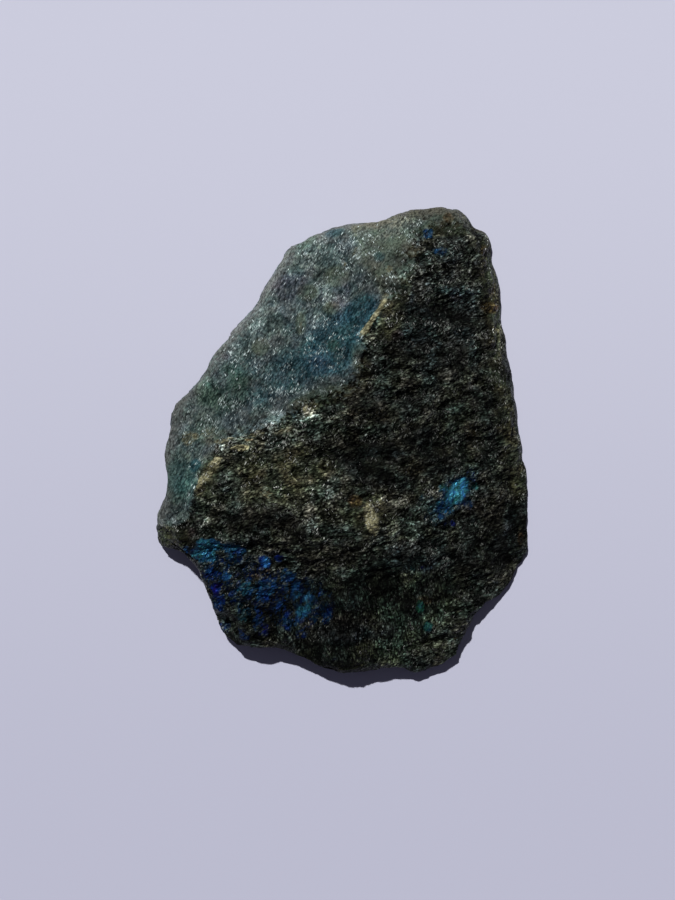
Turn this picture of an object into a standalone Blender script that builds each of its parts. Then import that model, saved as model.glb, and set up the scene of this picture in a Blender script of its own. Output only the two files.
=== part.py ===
"""A rough labradorite chunk: one broken wedge of feldspar, modelled as a single closed stone.

The stone lies on its flat cleavage face. Its frame is in metres, +Z up and +Y towards the narrow end,
with the origin on the resting face under the middle of the stone's box. Every size below is in
millimetres. The stone starts as a flat slab of its outline, which is warped until its upper side
follows the broken faces and flake scars and its underside the cleavage face and the undercut rim.
"""

from typing import NamedTuple

import bmesh
import bpy
import numpy as np
from mathutils import Vector, noise

MM = 0.001

# Driving dimensions.
LENGTH = 100.0
WIDTH = 80.2
SLAB = 5.0  # thickness of the flat slab before it is warped
THINNEST = 0.9  # least thickness of the warped stone
COARSE_VOXEL = 1.0  # grain of the slab
FINE_VOXEL = 0.62  # grain of the warped stone
TRIANGLES = 10000  # before the resting face is trimmed, which takes some away
WELD = 0.01  # corners closer than this are one

# The broken outline from above, clockwise from the narrow end: x, y.
OUTLINE = (
    (12.5, 49.2), (15.0, 49.8), (19.5, 50.0), (24.0, 49.8), (26.0, 48.6), (27.0, 47.5), (27.7, 45.9),
    (30.5, 45.0), (31.1, 43.7), (32.1, 38.3), (33.3, 34.5), (34.0, 24.4), (34.6, 22.9), (35.9, 12.2),
    (37.7, 1.3), (39.6, -9.0), (40.0, -15.2), (39.8, -22.3), (38.6, -24.0), (37.4, -25.9),
    (36.5, -27.8), (35.9, -29.6), (33.5, -32.6), (31.8, -34.2), (28.1, -36.0), (27.3, -37.7),
    (25.4, -40.9), (24.6, -42.8), (23.7, -44.9), (22.5, -46.5), (19.1, -48.0), (15.2, -49.0),
    (10.3, -48.5), (5.6, -49.4), (0.8, -50.0), (-1.0, -49.4), (-5.6, -48.0), (-6.9, -46.8),
    (-10.3, -45.5), (-13.5, -44.2), (-18.9, -44.0), (-22.6, -43.8), (-25.0, -42.0), (-26.6, -39.3),
    (-27.5, -35.3), (-28.7, -32.1), (-30.2, -29.8), (-30.9, -27.7), (-31.9, -26.5), (-33.6, -24.2),
    (-35.1, -23.5), (-37.5, -23.3), (-38.7, -22.4), (-39.6, -19.7), (-40.1, -17.1), (-39.7, -14.9),
    (-39.1, -12.8), (-37.2, -9.3), (-37.3, -7.4), (-38.1, -3.5), (-37.8, -1.1), (-36.4, 4.1),
    (-36.4, 5.8), (-35.1, 8.2), (-30.6, 13.0), (-29.2, 15.2), (-28.0, 18.2), (-22.9, 24.2),
    (-18.7, 28.9), (-17.0, 32.3), (-14.7, 36.2), (-13.0, 39.2), (-11.7, 41.3), (-8.3, 43.2),
    (-2.1, 45.9), (4.3, 47.0), (7.3, 47.0), (9.9, 47.8), (11.2, 48.7),
)

# Height of the broken edge and of the underside below it: bearing from +X in degrees, rim, foot.
RIM_STATIONS = (
    (2.0, 0.5, 0.0), (50.0, 0.7, 0.0), (57.0, 1.8, 0.0), (69.0, 4.8, 0.4), (78.0, 6.2, 0.8),
    (93.0, 6.2, 1.2), (106.0, 6.0, 1.6), (123.0, 6.2, 1.6), (152.0, 6.6, 2.2), (172.0, 7.4, 3.0),
    (185.0, 8.0, 3.4), (203.0, 8.6, 4.2), (212.0, 8.8, 4.2), (224.0, 8.8, 2.4), (239.0, 7.8, 1.4),
    (253.0, 6.2, 1.0), (271.0, 4.6, 0.8), (282.0, 3.6, 0.4), (296.0, 3.2, 0.2), (308.0, 3.8, 0.2),
    (323.0, 2.4, 0.0), (332.0, 1.4, 0.0), (340.0, 0.6, 0.0),
)
BEVEL_RISE = 1.5  # rise of the chipped bevel for each unit inside the rim
UNDERCUT_FALL = 0.42  # fall of the underside for each unit inside the rim
RESTING_SINK = 0.4  # the resting face is warped this far below the plane that trims it
CHIP_DEPTH = 0.9  # the wall's chips are up to this deep
CHIP_PROUD = 0.3  # and this much is left standing proud between them
CHIP_REACH = 2.5  # both fade over this distance inwards


class Facet(NamedTuple):
    """A flat broken face: its height at x, y, and how it rises along +X and +Y."""

    x: float
    y: float
    height: float
    rise_x: float
    rise_y: float


class Scar(NamedTuple):
    """A flake broken out of a face: how deep, how wide its step is, and its corners."""

    depth: float
    step: float
    corners: tuple


class Lumps(NamedTuple):
    """Fractal lumps: their height, their size, how much longer they run along the grain, a seed."""

    height: float
    size: float
    stretch: float
    seed: float
    octaves: int = 3


class Hackle(NamedTuple):
    """Small broken planes: their size, how steeply they tip, how far they step, a seed."""

    size: float
    tip: float
    step: float
    stretch: float
    seed: float


DARK_FACETS = (
    Facet(0.0, 12.0, 15.2, -0.21, -0.02),  # crown beside the pale face
    Facet(16.0, 8.0, 11.6, -0.42, 0.01),  # long slope to the thin edge
    Facet(-15.0, -8.0, 14.6, 0.07, 0.05),  # brow over the left lobe
    Facet(-14.0, -25.0, 12.6, 0.04, 0.27),  # slope that carries the blue flash
    Facet(9.0, -27.0, 11.0, -0.16, 0.25),  # slope to the lowest tip
    Facet(28.0, -26.0, 5.8, -0.34, 0.14),  # thin corner at the lower right
    Facet(12.0, 37.0, 11.6, -0.14, -0.34),  # shoulder at the narrow end
)
PALE_FACETS = (
    Facet(0.0, 20.0, 12.9, 0.20, -0.16),  # broad pale cleavage face
    Facet(-30.0, -3.0, 11.4, 0.30, -0.02),  # its turn down to the left
    Facet(-36.0, -15.0, 9.9, 0.22, 0.06),  # small lobe at the lower left
)
PALE_SCAR = Scar(
    1.0,
    1.1,
    (
        (13.0, 52.0), (9.6, 42.0), (7.0, 36.0), (8.9, 30.0), (6.0, 25.5), (3.9, 22.5), (2.4, 19.0),
        (2.3, 15.0), (0.6, 12.4), (-8.9, 9.2), (-13.0, 5.6), (-17.1, 3.0), (-25.2, 0.4), (-27.2, -3.0),
        (-29.5, -6.0), (-31.2, -11.6), (-31.6, -18.5), (-36.0, -20.5), (-44.0, -20.0), (-46.0, 56.0),
    ),
)
FLASH_SCAR = Scar(  # the flake whose floor carries the blue flash
    1.3,
    1.6,
    (
        (-36.0, -22.6), (-28.0, -21.8), (-20.0, -21.4), (-10.6, -23.6), (-3.0, -26.8), (-0.6, -32.0),
        (-2.2, -40.0), (-7.0, -52.0), (-40.0, -52.0),
    ),
)
DARK_SCARS = (
    FLASH_SCAR,
    Scar(  # the dark pit under the middle of the stone
        1.2,
        1.8,
        ((4.4, -27.6), (9.0, -28.4), (13.2, -29.6), (14.6, -33.2), (9.6, -35.0), (5.0, -33.6)),
    ),
    Scar(  # the cleft across the narrow end
        1.0,
        1.4,
        ((17.5, 31.0), (24.0, 31.8), (30.4, 31.4), (32.8, 27.6), (26.0, 25.0), (18.6, 26.2)),
    ),
    Scar(  # the shallow flake on the lower right slope
        0.7,
        1.2,
        (
            (13.4, -28.6), (16.6, -34.0), (18.4, -41.6), (15.0, -54.0), (34.0, -54.0), (38.0, -32.0),
            (27.0, -29.4),
        ),
    ),
    Scar(  # the chipped right corner
        0.4,
        1.0,
        ((29.6, -13.2), (36.0, -13.4), (44.0, -12.0), (44.0, -34.0), (34.0, -28.0)),
    ),
    Scar(  # the hollow in the middle of the dark face
        0.8,
        1.6,
        ((-4.0, 1.0), (2.0, 2.6), (8.0, 0.4), (10.6, -5.0), (4.0, -7.4), (-3.0, -4.6)),
    ),
)
UNDER_SCARS = (
    Scar(1.3, 1.2, ((-30.0, 34.0), (-9.0, 25.0), (5.0, 33.0), (2.0, 56.0), (-30.0, 52.0))),
    Scar(1.5, 1.4, ((-14.0, -54.0), (-9.0, -38.0), (3.0, -33.0), (13.0, -38.0), (16.0, -54.0))),
    Scar(0.9, 1.2, ((20.0, -54.0), (19.0, -38.0), (27.0, -28.0), (46.0, -27.0), (46.0, -54.0))),
    Scar(0.8, 0.9, ((-19.0, -9.0), (-7.0, 3.0), (7.0, 1.0), (10.0, -13.0), (-3.0, -20.0))),
    Scar(0.7, 0.8, ((16.0, 10.0), (12.0, 26.0), (20.0, 36.0), (27.0, 24.0), (26.0, 9.0))),
)

GRAIN_TURN = 0.28  # the grain of the broken faces runs this many radians up to the right
BROAD_LUMPS = Lumps(0.8, 13.0, 1.0, 7.0)
DARK_LUMPS = Lumps(0.6, 3.2, 2.2, 11.0)
BEVEL_LUMPS = Lumps(0.5, 3.0, 1.0, 5.0)
SCAR_WAVER = Lumps(1.1, 5.0, 1.0, 3.0)
UNDERCUT_LUMPS = Lumps(0.6, 4.5, 1.0, 17.0)
UNDER_LUMPS = Lumps(0.35, 6.0, 1.0, 19.0)
UNDER_WAVER = Lumps(2.2, 7.0, 1.0, 21.0)
CHIP_SIZE = (5.0, 5.0, 1.6)  # the wall's chips are flat ledges
DARK_HACKLE = Hackle(4.4, 0.17, 0.2, 2.0, 31.0)
PALE_HACKLE = Hackle(7.5, 0.06, 0.2, 1.5, 37.0)
FLASH_HACKLE = Hackle(3.6, 0.22, 0.24, 1.2, 43.0)
BEVEL_HACKLE = Hackle(3.4, 0.2, 0.5, 1.0, 47.0)


def scaled_outline():
    """The outline's corners, stretched to LENGTH by WIDTH and centred on the origin."""
    corners = np.array(OUTLINE)
    low, high = corners.min(axis=0), corners.max(axis=0)
    return (corners - (low + high) / 2) * (WIDTH, LENGTH) / (high - low)


def edge_distance(points, corners):
    """How far each point lies inside a polygon, negative outside it."""
    starts = np.asarray(corners, float)
    sides = np.roll(starts, -1, axis=0) - starts
    away = points[:, None, :] - starts
    along = np.clip((away * sides).sum(axis=2) / (sides**2).sum(axis=1), 0, 1)
    nearest = np.linalg.norm(away - along[..., None] * sides, axis=2).min(axis=1)
    above = points[:, None, 1] > starts[:, 1]
    crosses = above != np.roll(above, -1, axis=1)
    rise = np.where(sides[:, 1] == 0, 1, sides[:, 1])
    meets = starts[:, 0] + away[..., 1] * sides[:, 0] / rise
    inside = (crosses & (points[:, None, 0] < meets)).sum(axis=1) % 2 == 1
    return np.where(inside, nearest, -nearest)


def smooth_step(value, low, high):
    """0 below low, 1 above high, and an S-curve between them."""
    share = np.clip((value - low) / (high - low), 0, 1)
    return share * share * (3 - 2 * share)


def along_grain(points, size, stretch):
    """The points in cells of that size, turned to the grain and stretched along it."""
    cos, sin = np.cos(GRAIN_TURN), np.sin(GRAIN_TURN)
    along = points[:, 0] * cos + points[:, 1] * sin
    across = points[:, 1] * cos - points[:, 0] * sin
    return np.stack([along / (size * stretch), across / size], axis=1)


def lump_heights(points, lumps):
    """How far the lumps lift each point."""
    cells = along_grain(points, lumps.size, lumps.stretch)
    return lumps.height * np.array([
        noise.fractal(Vector((x, y, lumps.seed)), 0.9, 2.0, lumps.octaves) for x, y in cells
    ])


def hackle_heights(points, hackle):
    """How far the small broken planes lift each point: each cell is a plane tipped its own way."""
    heights = []
    for x, y in along_grain(points, hackle.size, hackle.stretch):
        place = Vector((x, y, hackle.seed))
        heart = noise.voronoi(place)[1][0]
        way = noise.cell_vector(heart * 97.0)
        away = place - heart
        heights.append(hackle.size * hackle.tip * 2 * (way.x * away.x + way.y * away.y))
        heights[-1] += hackle.step * way.z
    return np.array(heights)


def facet_heights(points, facets):
    """The lowest of the flat faces over each point, so that faces meet along ridges."""
    return np.min(
        [
            face.height + face.rise_x * (points[:, 0] - face.x) + face.rise_y * (points[:, 1] - face.y)
            for face in facets
        ],
        axis=0,
    )


def scar_share(points, scar, waver):
    """How far each point lies in the flake scar: 0 outside, 1 on its floor."""
    inside = edge_distance(points, scar.corners) + waver
    return smooth_step(inside, -scar.step / 2, scar.step / 2)


def scar_depths(points, scars, waver):
    """How far the flake scars sink each point."""
    return sum(scar.depth * scar_share(points, scar, waver) for scar in scars)


def rim_heights(points):
    """The heights of the rim and of the foot of the wall in each point's bearing."""
    bearings = np.degrees(np.arctan2(points[:, 1], points[:, 0]))
    stations = np.array(RIM_STATIONS)
    rim = np.interp(bearings, stations[:, 0], stations[:, 1], period=360)
    foot = np.interp(bearings, stations[:, 0], stations[:, 2], period=360)
    return rim, foot


def upper_side(points, inset):
    """The height of the stone's upper side at each point."""
    waver = lump_heights(points, SCAR_WAVER)
    pale = scar_share(points, PALE_SCAR, waver)
    flash = scar_share(points, FLASH_SCAR, waver)
    dark_top = facet_heights(points, DARK_FACETS) - scar_depths(points, DARK_SCARS, waver)
    pale_top = np.minimum(dark_top - PALE_SCAR.depth, facet_heights(points, PALE_FACETS))
    dark_rough = hackle_heights(points, DARK_HACKLE) + lump_heights(points, DARK_LUMPS)
    flash_rough = hackle_heights(points, FLASH_HACKLE)
    pale_rough = hackle_heights(points, PALE_HACKLE)
    dark_top += dark_rough + flash * (flash_rough - dark_rough)
    pale_top += pale_rough
    top = dark_top + pale * (pale_top - dark_top) + lump_heights(points, BROAD_LUMPS)
    rim, _ = rim_heights(points)
    bevel = rim + BEVEL_RISE * inset + lump_heights(points, BEVEL_LUMPS)
    return np.minimum(top, bevel + hackle_heights(points, BEVEL_HACKLE))


def under_side(points, inset):
    """The height of the underside: the sunk resting face, its flake scars and the undercut rim."""
    _, foot = rim_heights(points)
    undercut = foot - UNDERCUT_FALL * inset + lump_heights(points, UNDERCUT_LUMPS)
    scars = scar_depths(points, UNDER_SCARS, lump_heights(points, UNDER_WAVER))
    rough = lump_heights(points, UNDER_LUMPS) - RESTING_SINK
    return np.maximum(np.maximum(undercut, scars + rough), -RESTING_SINK)


def chip_depths(points, heights):
    """How deep the wall is chipped at each point and height, in ledges along the cleavage."""
    places = np.column_stack([points, heights]) / CHIP_SIZE
    chips = np.array([abs(noise.fractal(Vector(place), 0.8, 2.0, 3)) for place in places])
    return CHIP_DEPTH * chips - CHIP_PROUD


def evaluated_mesh(source):
    """A new mesh of what an object shows, its modifiers included."""
    bpy.context.view_layer.update()
    graph = bpy.context.evaluated_depsgraph_get()
    return bpy.data.meshes.new_from_object(source.evaluated_get(graph))


def apply_modifiers(stone):
    """Makes the object's modifiers part of its mesh."""
    shown = evaluated_mesh(stone)
    stone.modifiers.clear()
    stone.data = shown


def regrain(stone, voxel):
    """Remeshes the stone in even quads of that size."""
    remesh = stone.modifiers.new("grain", "REMESH")
    remesh.mode = "VOXEL"
    remesh.voxel_size = voxel * MM
    apply_modifiers(stone)


def flat_slab(collection):
    """A flat slab of the outline, as a mesh object with an even grain."""
    curve = bpy.data.curves.new("outline", "CURVE")
    curve.dimensions = "2D"
    curve.fill_mode = "BOTH"
    curve.extrude = SLAB / 2 * MM
    corners = scaled_outline()
    spline = curve.splines.new("POLY")
    spline.points.add(len(corners) - 1)
    for point, (x, y) in zip(spline.points, corners):
        point.co = (x * MM, y * MM, 0, 1)
    spline.use_cyclic_u = True
    guide = bpy.data.objects.new("outline", curve)
    collection.objects.link(guide)
    stone = bpy.data.objects.new("labradorite_chunk", evaluated_mesh(guide))
    bpy.data.objects.remove(guide)
    collection.objects.link(stone)
    work = bmesh.new()
    work.from_mesh(stone.data)
    bmesh.ops.remove_doubles(work, verts=work.verts, dist=WELD * MM)
    work.to_mesh(stone.data)
    work.free()
    regrain(stone, COARSE_VOXEL)
    return stone


def warp(stone):
    """Moves the slab's upper side, wall and underside to where the broken stone has them."""
    mesh = stone.data
    flat = np.empty(len(mesh.vertices) * 3, np.float32)
    mesh.vertices.foreach_get("co", flat)
    places = flat.reshape(-1, 3).astype(float) / MM
    level = np.clip(places[:, 2] / SLAB + 0.5, 0, 1)
    points = places[:, :2].copy()
    inset = np.clip(edge_distance(points, scaled_outline()), 0, None)
    under = under_side(points, inset)
    top = np.maximum(upper_side(points, inset), under + THINNEST)
    heights = under + level * (top - under)
    chips = chip_depths(points, heights) * np.exp(-inset / CHIP_REACH)
    inwards = -points / np.linalg.norm(points, axis=1, keepdims=True).clip(1)
    places[:, :2] += inwards * chips[:, None]
    places[:, 2] = heights
    mesh.vertices.foreach_set("co", (places * MM).astype(np.float32).ravel())
    mesh.update()
    regrain(stone, FINE_VOXEL)


def thin_out(stone):
    """Reduces the stone to about TRIANGLES, keeping its ridges and steps."""
    stone.modifiers.new("triangles", "TRIANGULATE")
    apply_modifiers(stone)
    decimate = stone.modifiers.new("thin out", "DECIMATE")
    decimate.ratio = TRIANGLES / len(stone.data.polygons)
    apply_modifiers(stone)


def trim_resting_face(stone):
    """Cuts the underside off flat at z = 0, which leaves the face that the stone rests on."""
    work = bmesh.new()
    work.from_mesh(stone.data)
    everything = work.verts[:] + work.edges[:] + work.faces[:]
    cut = bmesh.ops.bisect_plane(
        work, geom=everything, plane_co=(0, 0, 0), plane_no=(0, 0, 1), clear_inner=True
    )
    rim = [item for item in cut["geom_cut"] if isinstance(item, bmesh.types.BMEdge)]
    bmesh.ops.triangle_fill(work, use_beauty=True, edges=rim, normal=(0, 0, -1))
    bmesh.ops.triangulate(work, faces=work.faces)
    bmesh.ops.recalc_face_normals(work, faces=work.faces)
    work.to_mesh(stone.data)
    work.free()


def centre(stone):
    """Puts the origin on the resting face under the middle of the stone's box."""
    places = np.array([vertex.co[:2] for vertex in stone.data.vertices])
    middle = (places.min(axis=0) + places.max(axis=0)) / 2
    for vertex in stone.data.vertices:
        vertex.co.x -= middle[0]
        vertex.co.y -= middle[1]


def labradorite():
    """The stone's plain finish: dark, slightly glossy feldspar."""
    material = bpy.data.materials.new("labradorite")
    material.use_nodes = True
    shader = material.node_tree.nodes["Principled BSDF"]
    shader.inputs["Base Color"].default_value = (0.03, 0.038, 0.036, 1)
    shader.inputs["Roughness"].default_value = 0.45
    shader.inputs["Metallic"].default_value = 0.0
    return material


def main():
    for old in list(bpy.data.objects):
        bpy.data.objects.remove(old)
    collection = bpy.data.collections.new("labradorite_chunk")
    bpy.context.scene.collection.children.link(collection)
    stone = flat_slab(collection)
    warp(stone)
    thin_out(stone)
    trim_resting_face(stone)
    centre(stone)
    stone.data.materials.clear()
    stone.data.materials.append(labradorite())


main()
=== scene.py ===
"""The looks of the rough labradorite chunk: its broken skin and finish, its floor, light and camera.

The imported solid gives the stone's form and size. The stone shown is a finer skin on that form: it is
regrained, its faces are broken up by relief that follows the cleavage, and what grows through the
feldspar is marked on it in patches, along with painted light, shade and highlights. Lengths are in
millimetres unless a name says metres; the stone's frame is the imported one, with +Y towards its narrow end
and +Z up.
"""

import logging
import math
from dataclasses import dataclass
from enum import Enum
from typing import Sequence, Union

import bmesh
import bpy
import numpy as np
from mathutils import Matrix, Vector, kdtree, noise


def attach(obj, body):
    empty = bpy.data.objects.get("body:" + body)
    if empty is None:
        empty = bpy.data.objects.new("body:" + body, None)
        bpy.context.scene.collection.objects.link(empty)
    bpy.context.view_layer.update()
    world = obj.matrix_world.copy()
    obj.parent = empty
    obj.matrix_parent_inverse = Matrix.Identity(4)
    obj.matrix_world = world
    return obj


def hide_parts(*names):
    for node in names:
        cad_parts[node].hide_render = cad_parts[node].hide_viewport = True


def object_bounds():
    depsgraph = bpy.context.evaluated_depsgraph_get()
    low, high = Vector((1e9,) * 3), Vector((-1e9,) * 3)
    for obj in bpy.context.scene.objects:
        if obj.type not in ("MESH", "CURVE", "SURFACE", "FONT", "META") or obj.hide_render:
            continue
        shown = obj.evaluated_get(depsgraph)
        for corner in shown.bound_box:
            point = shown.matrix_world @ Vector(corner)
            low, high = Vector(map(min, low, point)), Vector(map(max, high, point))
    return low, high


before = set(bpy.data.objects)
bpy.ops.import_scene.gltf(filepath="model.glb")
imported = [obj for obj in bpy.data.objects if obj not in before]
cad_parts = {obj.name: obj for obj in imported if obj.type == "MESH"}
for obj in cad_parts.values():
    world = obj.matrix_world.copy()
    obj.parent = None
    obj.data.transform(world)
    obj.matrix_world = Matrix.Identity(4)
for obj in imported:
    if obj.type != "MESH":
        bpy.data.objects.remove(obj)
SOLID_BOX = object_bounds()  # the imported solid's box, before anything is dressed

MM = 0.001
LOG = logging.getLogger("labradorite_chunk")

Colour = tuple[float, float, float]
Stops = tuple[tuple[float, Colour], ...]
Feed = Union["Wire", float, Sequence[float]]
Pair = tuple[float, float]  # a value in the dark stone, then the same in the pale face
Span = tuple[float, float]  # where a smooth step starts and ends
Sizes = tuple[float, ...]

OVAL_EDGE: Span = (0.5, 1.3)  # where an oval's share falls from 1 to 0, in half lengths from its middle
LUMP_NOISE = (0.9, 2.0, 3)  # the noise's fall-off, its step in scale and its layers
RIDGE_NOISE = (0.9, 2.1, 2, 1.0, 1.6)  # the same, then the ridges' offset and gain
TIP_SEED, STEP_SEED, SHELF_SEED = 97.0, 53.0, 71.0  # far apart, so that a cell's numbers are unlike
# how far the finish's patterns are moved along all axes, so that no two of one kind coincide
FAN_AT, WAVE_AT, CROSS_AT, VEINS_AT = 5.0, 12.0, 17.0, 23.0
BED_AT, DRIFT_AT, KNOTS_AT, GREEN_AT = 31.0, 40.0, 63.0, 90.0
WAVER_SEED = 1  # above 0: at 0 the ledges' waver would change with the time of the run
LEAST_WEIGHT = 1e-4  # keeps the hue's mean from dividing by 0 where nothing flashes


class Mark(Enum):
    """What is marked on the stone's skin; each is a mesh attribute that the finish reads."""

    PALE = "pale"  # millimetres inside the pale cleavage face, negative in the dark stone
    RIM = "rim"  # millimetres inside the broken edge
    CREST = "crest"  # above 0 on the relief's crests, below 0 in its hollows; the finish paints light on crests and shade in hollows by it
    PAINTED_LIGHT_AND_TONE = "light"  # painted light and shade, and partly the stone's own tone: lighter above 0, darker below; each step is twice or half as light
    FAN = "fan"  # where the grain fans out across the cleavage
    TEAL = "teal"
    GREEN = "green"
    PLUM = "plum"
    SLATE = "slate"
    RUST = "rust"
    OLIVE = "olive"
    CREAM = "cream"
    PAINTED_HIGHLIGHTS = "sparkle"  # how much richer in painted highlights, bright flecks, than elsewhere
    FLASH = "flash"  # how much of the stone flashes
    HUE = "hue"  # the flash's colour: 0 violet, 0.4 blue, 0.75 cyan, 1 green


def smooth_step(value: np.ndarray, low: float, high: float) -> np.ndarray:
    """Blends from 0 to 1 along an S-curve.

    Args:
        value: The values to blend by.
        low: Where the blend is still 0.
        high: Where it reaches 1.

    Returns:
        The share of the blend at each value.
    """
    share = np.clip((value - low) / (high - low), 0, 1)
    return share * share * (3 - 2 * share)


def at_least(share: Union[float, np.ndarray], step: np.ndarray) -> np.ndarray:
    """Blends from a share up to 1 as a step goes from 0 to 1."""
    return share + (1 - share) * step


def inside_distance(points: np.ndarray, corners: Sequence[tuple[float, float]]) -> np.ndarray:
    """Measures how far points lie inside a polygon.

    Args:
        points: One x, y pair a row.
        corners: The polygon's corners in order.

    Returns:
        Each point's distance to the nearest side, negative outside the polygon.
    """
    starts = np.asarray(corners, float)
    sides = np.roll(starts, -1, axis=0) - starts
    away = points[:, None, :] - starts
    along = np.clip((away * sides).sum(axis=2) / (sides**2).sum(axis=1), 0, 1)
    nearest = np.linalg.norm(away - along[..., None] * sides, axis=2).min(axis=1)
    above = points[:, None, 1] > starts[:, 1]
    crosses = above != np.roll(above, -1, axis=1)
    rise = np.where(sides[:, 1] == 0, 1, sides[:, 1])
    meets = starts[:, 0] + away[..., 1] * sides[:, 0] / rise
    inside = (crosses & (points[:, None, 0] < meets)).sum(axis=1) % 2 == 1
    return np.where(inside, nearest, -nearest)


@dataclass(frozen=True)
class Patch:
    """An oval of the skin, seen from above: its middle, length, width, strength and turn in degrees."""

    x: float
    y: float
    long: float
    wide: float
    strength: float = 1.0
    turn: float = 0.0

    def share(self, points: np.ndarray) -> np.ndarray:
        """Tells how far points lie in the oval.

        Args:
            points: One x, y pair a row.

        Returns:
            1 in the oval's middle, falling softly to 0 just outside it.
        """
        turn = math.radians(self.turn)
        dx, dy = points[:, 0] - self.x, points[:, 1] - self.y
        along = dx * math.cos(turn) + dy * math.sin(turn)
        across = dy * math.cos(turn) - dx * math.sin(turn)
        reach = np.hypot(along / (self.long / 2), across / (self.wide / 2))
        return 1 - smooth_step(reach, *OVAL_EDGE)


@dataclass(frozen=True)
class Flash(Patch):
    """A patch that flashes, and its colour's place between violet and green."""

    hue: float = 0.5


@dataclass(frozen=True)
class Nudge(Patch):
    """A patch of the stone that is shifted: how far along X and Y, and by what share of its height."""

    over: float = 0.0
    up: float = 0.0
    swell: float = 0.0


def ovals(*rows: tuple[float, ...]) -> tuple[Patch, ...]:
    """Patches from rows of x, y, length, width, strength and, for one that isn't level, its turn."""
    return tuple(Patch(*row) for row in rows)


def added(points: np.ndarray, patches: Sequence[Patch]) -> np.ndarray:
    """What patches add up to at points, each by its strength."""
    return sum(patch.strength * patch.share(points) for patch in patches)


@dataclass(frozen=True)
class Relief:
    """Relief along the grain: its cells' size, their stretch along the grain, its turn, a seed."""

    size: float
    stretch: float
    turn: float
    seed: float

    def heights(self, places: np.ndarray) -> np.ndarray:
        """Works the relief out.

        Args:
            places: One x, y, z triple a row.

        Returns:
            How far the relief lifts each place.
        """
        cos, sin = math.cos(math.radians(self.turn)), math.sin(math.radians(self.turn))
        along = (places[:, 0] * cos + places[:, 1] * sin) / (self.size * self.stretch)
        across = (places[:, 1] * cos - places[:, 0] * sin) / self.size
        cells = np.stack([along, across, places[:, 2] / self.size + self.seed], axis=1)
        return np.array([self.height_at(Vector(cell)) for cell in cells])

    def height_at(self, cell: Vector) -> float:
        """The height at a place counted in cells, which each kind of relief gives."""
        raise NotImplementedError


@dataclass(frozen=True)
class Lumps(Relief):
    """Fractal relief of a height."""

    height: float

    def height_at(self, cell: Vector) -> float:
        """The lumps' height at a place counted in cells."""
        return self.height * noise.fractal(cell, *LUMP_NOISE)


@dataclass(frozen=True)
class Ridges(Relief):
    """Sharp wavy ridges of a height, half of it below the skin."""

    height: float

    def height_at(self, cell: Vector) -> float:
        """The ridges' height at a place counted in cells."""
        return self.height * (noise.ridged_multi_fractal(cell, *RIDGE_NOISE) - 1.0)


@dataclass(frozen=True)
class Hackle(Relief):
    """Small broken planes: how steeply they tip, each its own way, and how far they step."""

    tip: float
    step: float

    def height_at(self, cell: Vector) -> float:
        """Works out the height of the broken plane there.

        Args:
            cell: The place, counted in cells.

        Returns:
            The plane's height.
        """
        heart = noise.voronoi(cell)[1][0]
        way = noise.cell_vector(heart * TIP_SEED)
        step = noise.cell_vector(heart * STEP_SEED).x * self.step
        return step + self.size * self.tip * 2 * way.dot(cell - heart)


@dataclass(frozen=True)
class Ledges:
    """Ledges in the broken walls: how deep they are set back, how thick and long they are, a seed."""

    depth: float
    thick: float
    long: float
    seed: float
    waver: tuple[float, float] = (1.7, 0.3)  # how often and how far the ledges' edges stray, in ledges
    middle: float = 0.2
    spread: float = 0.6

    def heights(self, places: np.ndarray) -> np.ndarray:
        """Works the ledges out.

        Args:
            places: One x, y, z triple a row.

        Returns:
            How far the wall lies behind the solid's at each place, below 0.
        """
        often, far = self.waver
        heights = []
        for cell in places / (self.long, self.long, self.thick):
            place = Vector(cell) + noise.noise_vector(Vector(cell) * often) * far
            place.z += self.seed
            heart = noise.voronoi(place)[1][0]
            way = noise.cell_vector(heart * SHELF_SEED)
            heights.append(self.middle + self.spread * way.x + self.spread * way.dot(place - heart))
        return -self.depth * np.clip(heights, 0, 1)


# Where the pale face ends against the dark stone; the line's other corners lie outside the stone.
PALE_CORNERS = (
    (31.0, 52.0), (27.0, 46.6), (18.0, 46.0), (14.6, 42.0), (13.4, 36.0), (10.6, 31.0), (8.4, 28.4),
    (6.0, 25.5), (4.6, 22.5), (4.4, 19.0), (3.2, 15.0), (1.4, 11.2), (-7.6, 8.2), (-12.0, 5.0),
    (-17.1, 3.0), (-25.2, 0.4), (-27.2, -3.0), (-29.5, -6.0), (-31.2, -11.6), (-31.6, -16.0),
    (-35.0, -17.8), (-44.0, -17.6), (-46.0, 56.0),
)

EDGE_BLURS = ovals(  # where that edge is this many times wider than at its crisp ledges, and one more
    (12, 39, 14, 24, 5), (1.5, 13, 12, 12, 2, 30), (20, 46, 22, 8, 2.5), (-12, 6.5, 34, 9, 2.5, 20),
    (-30, 0, 8, 6, 2.5),
)

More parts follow.
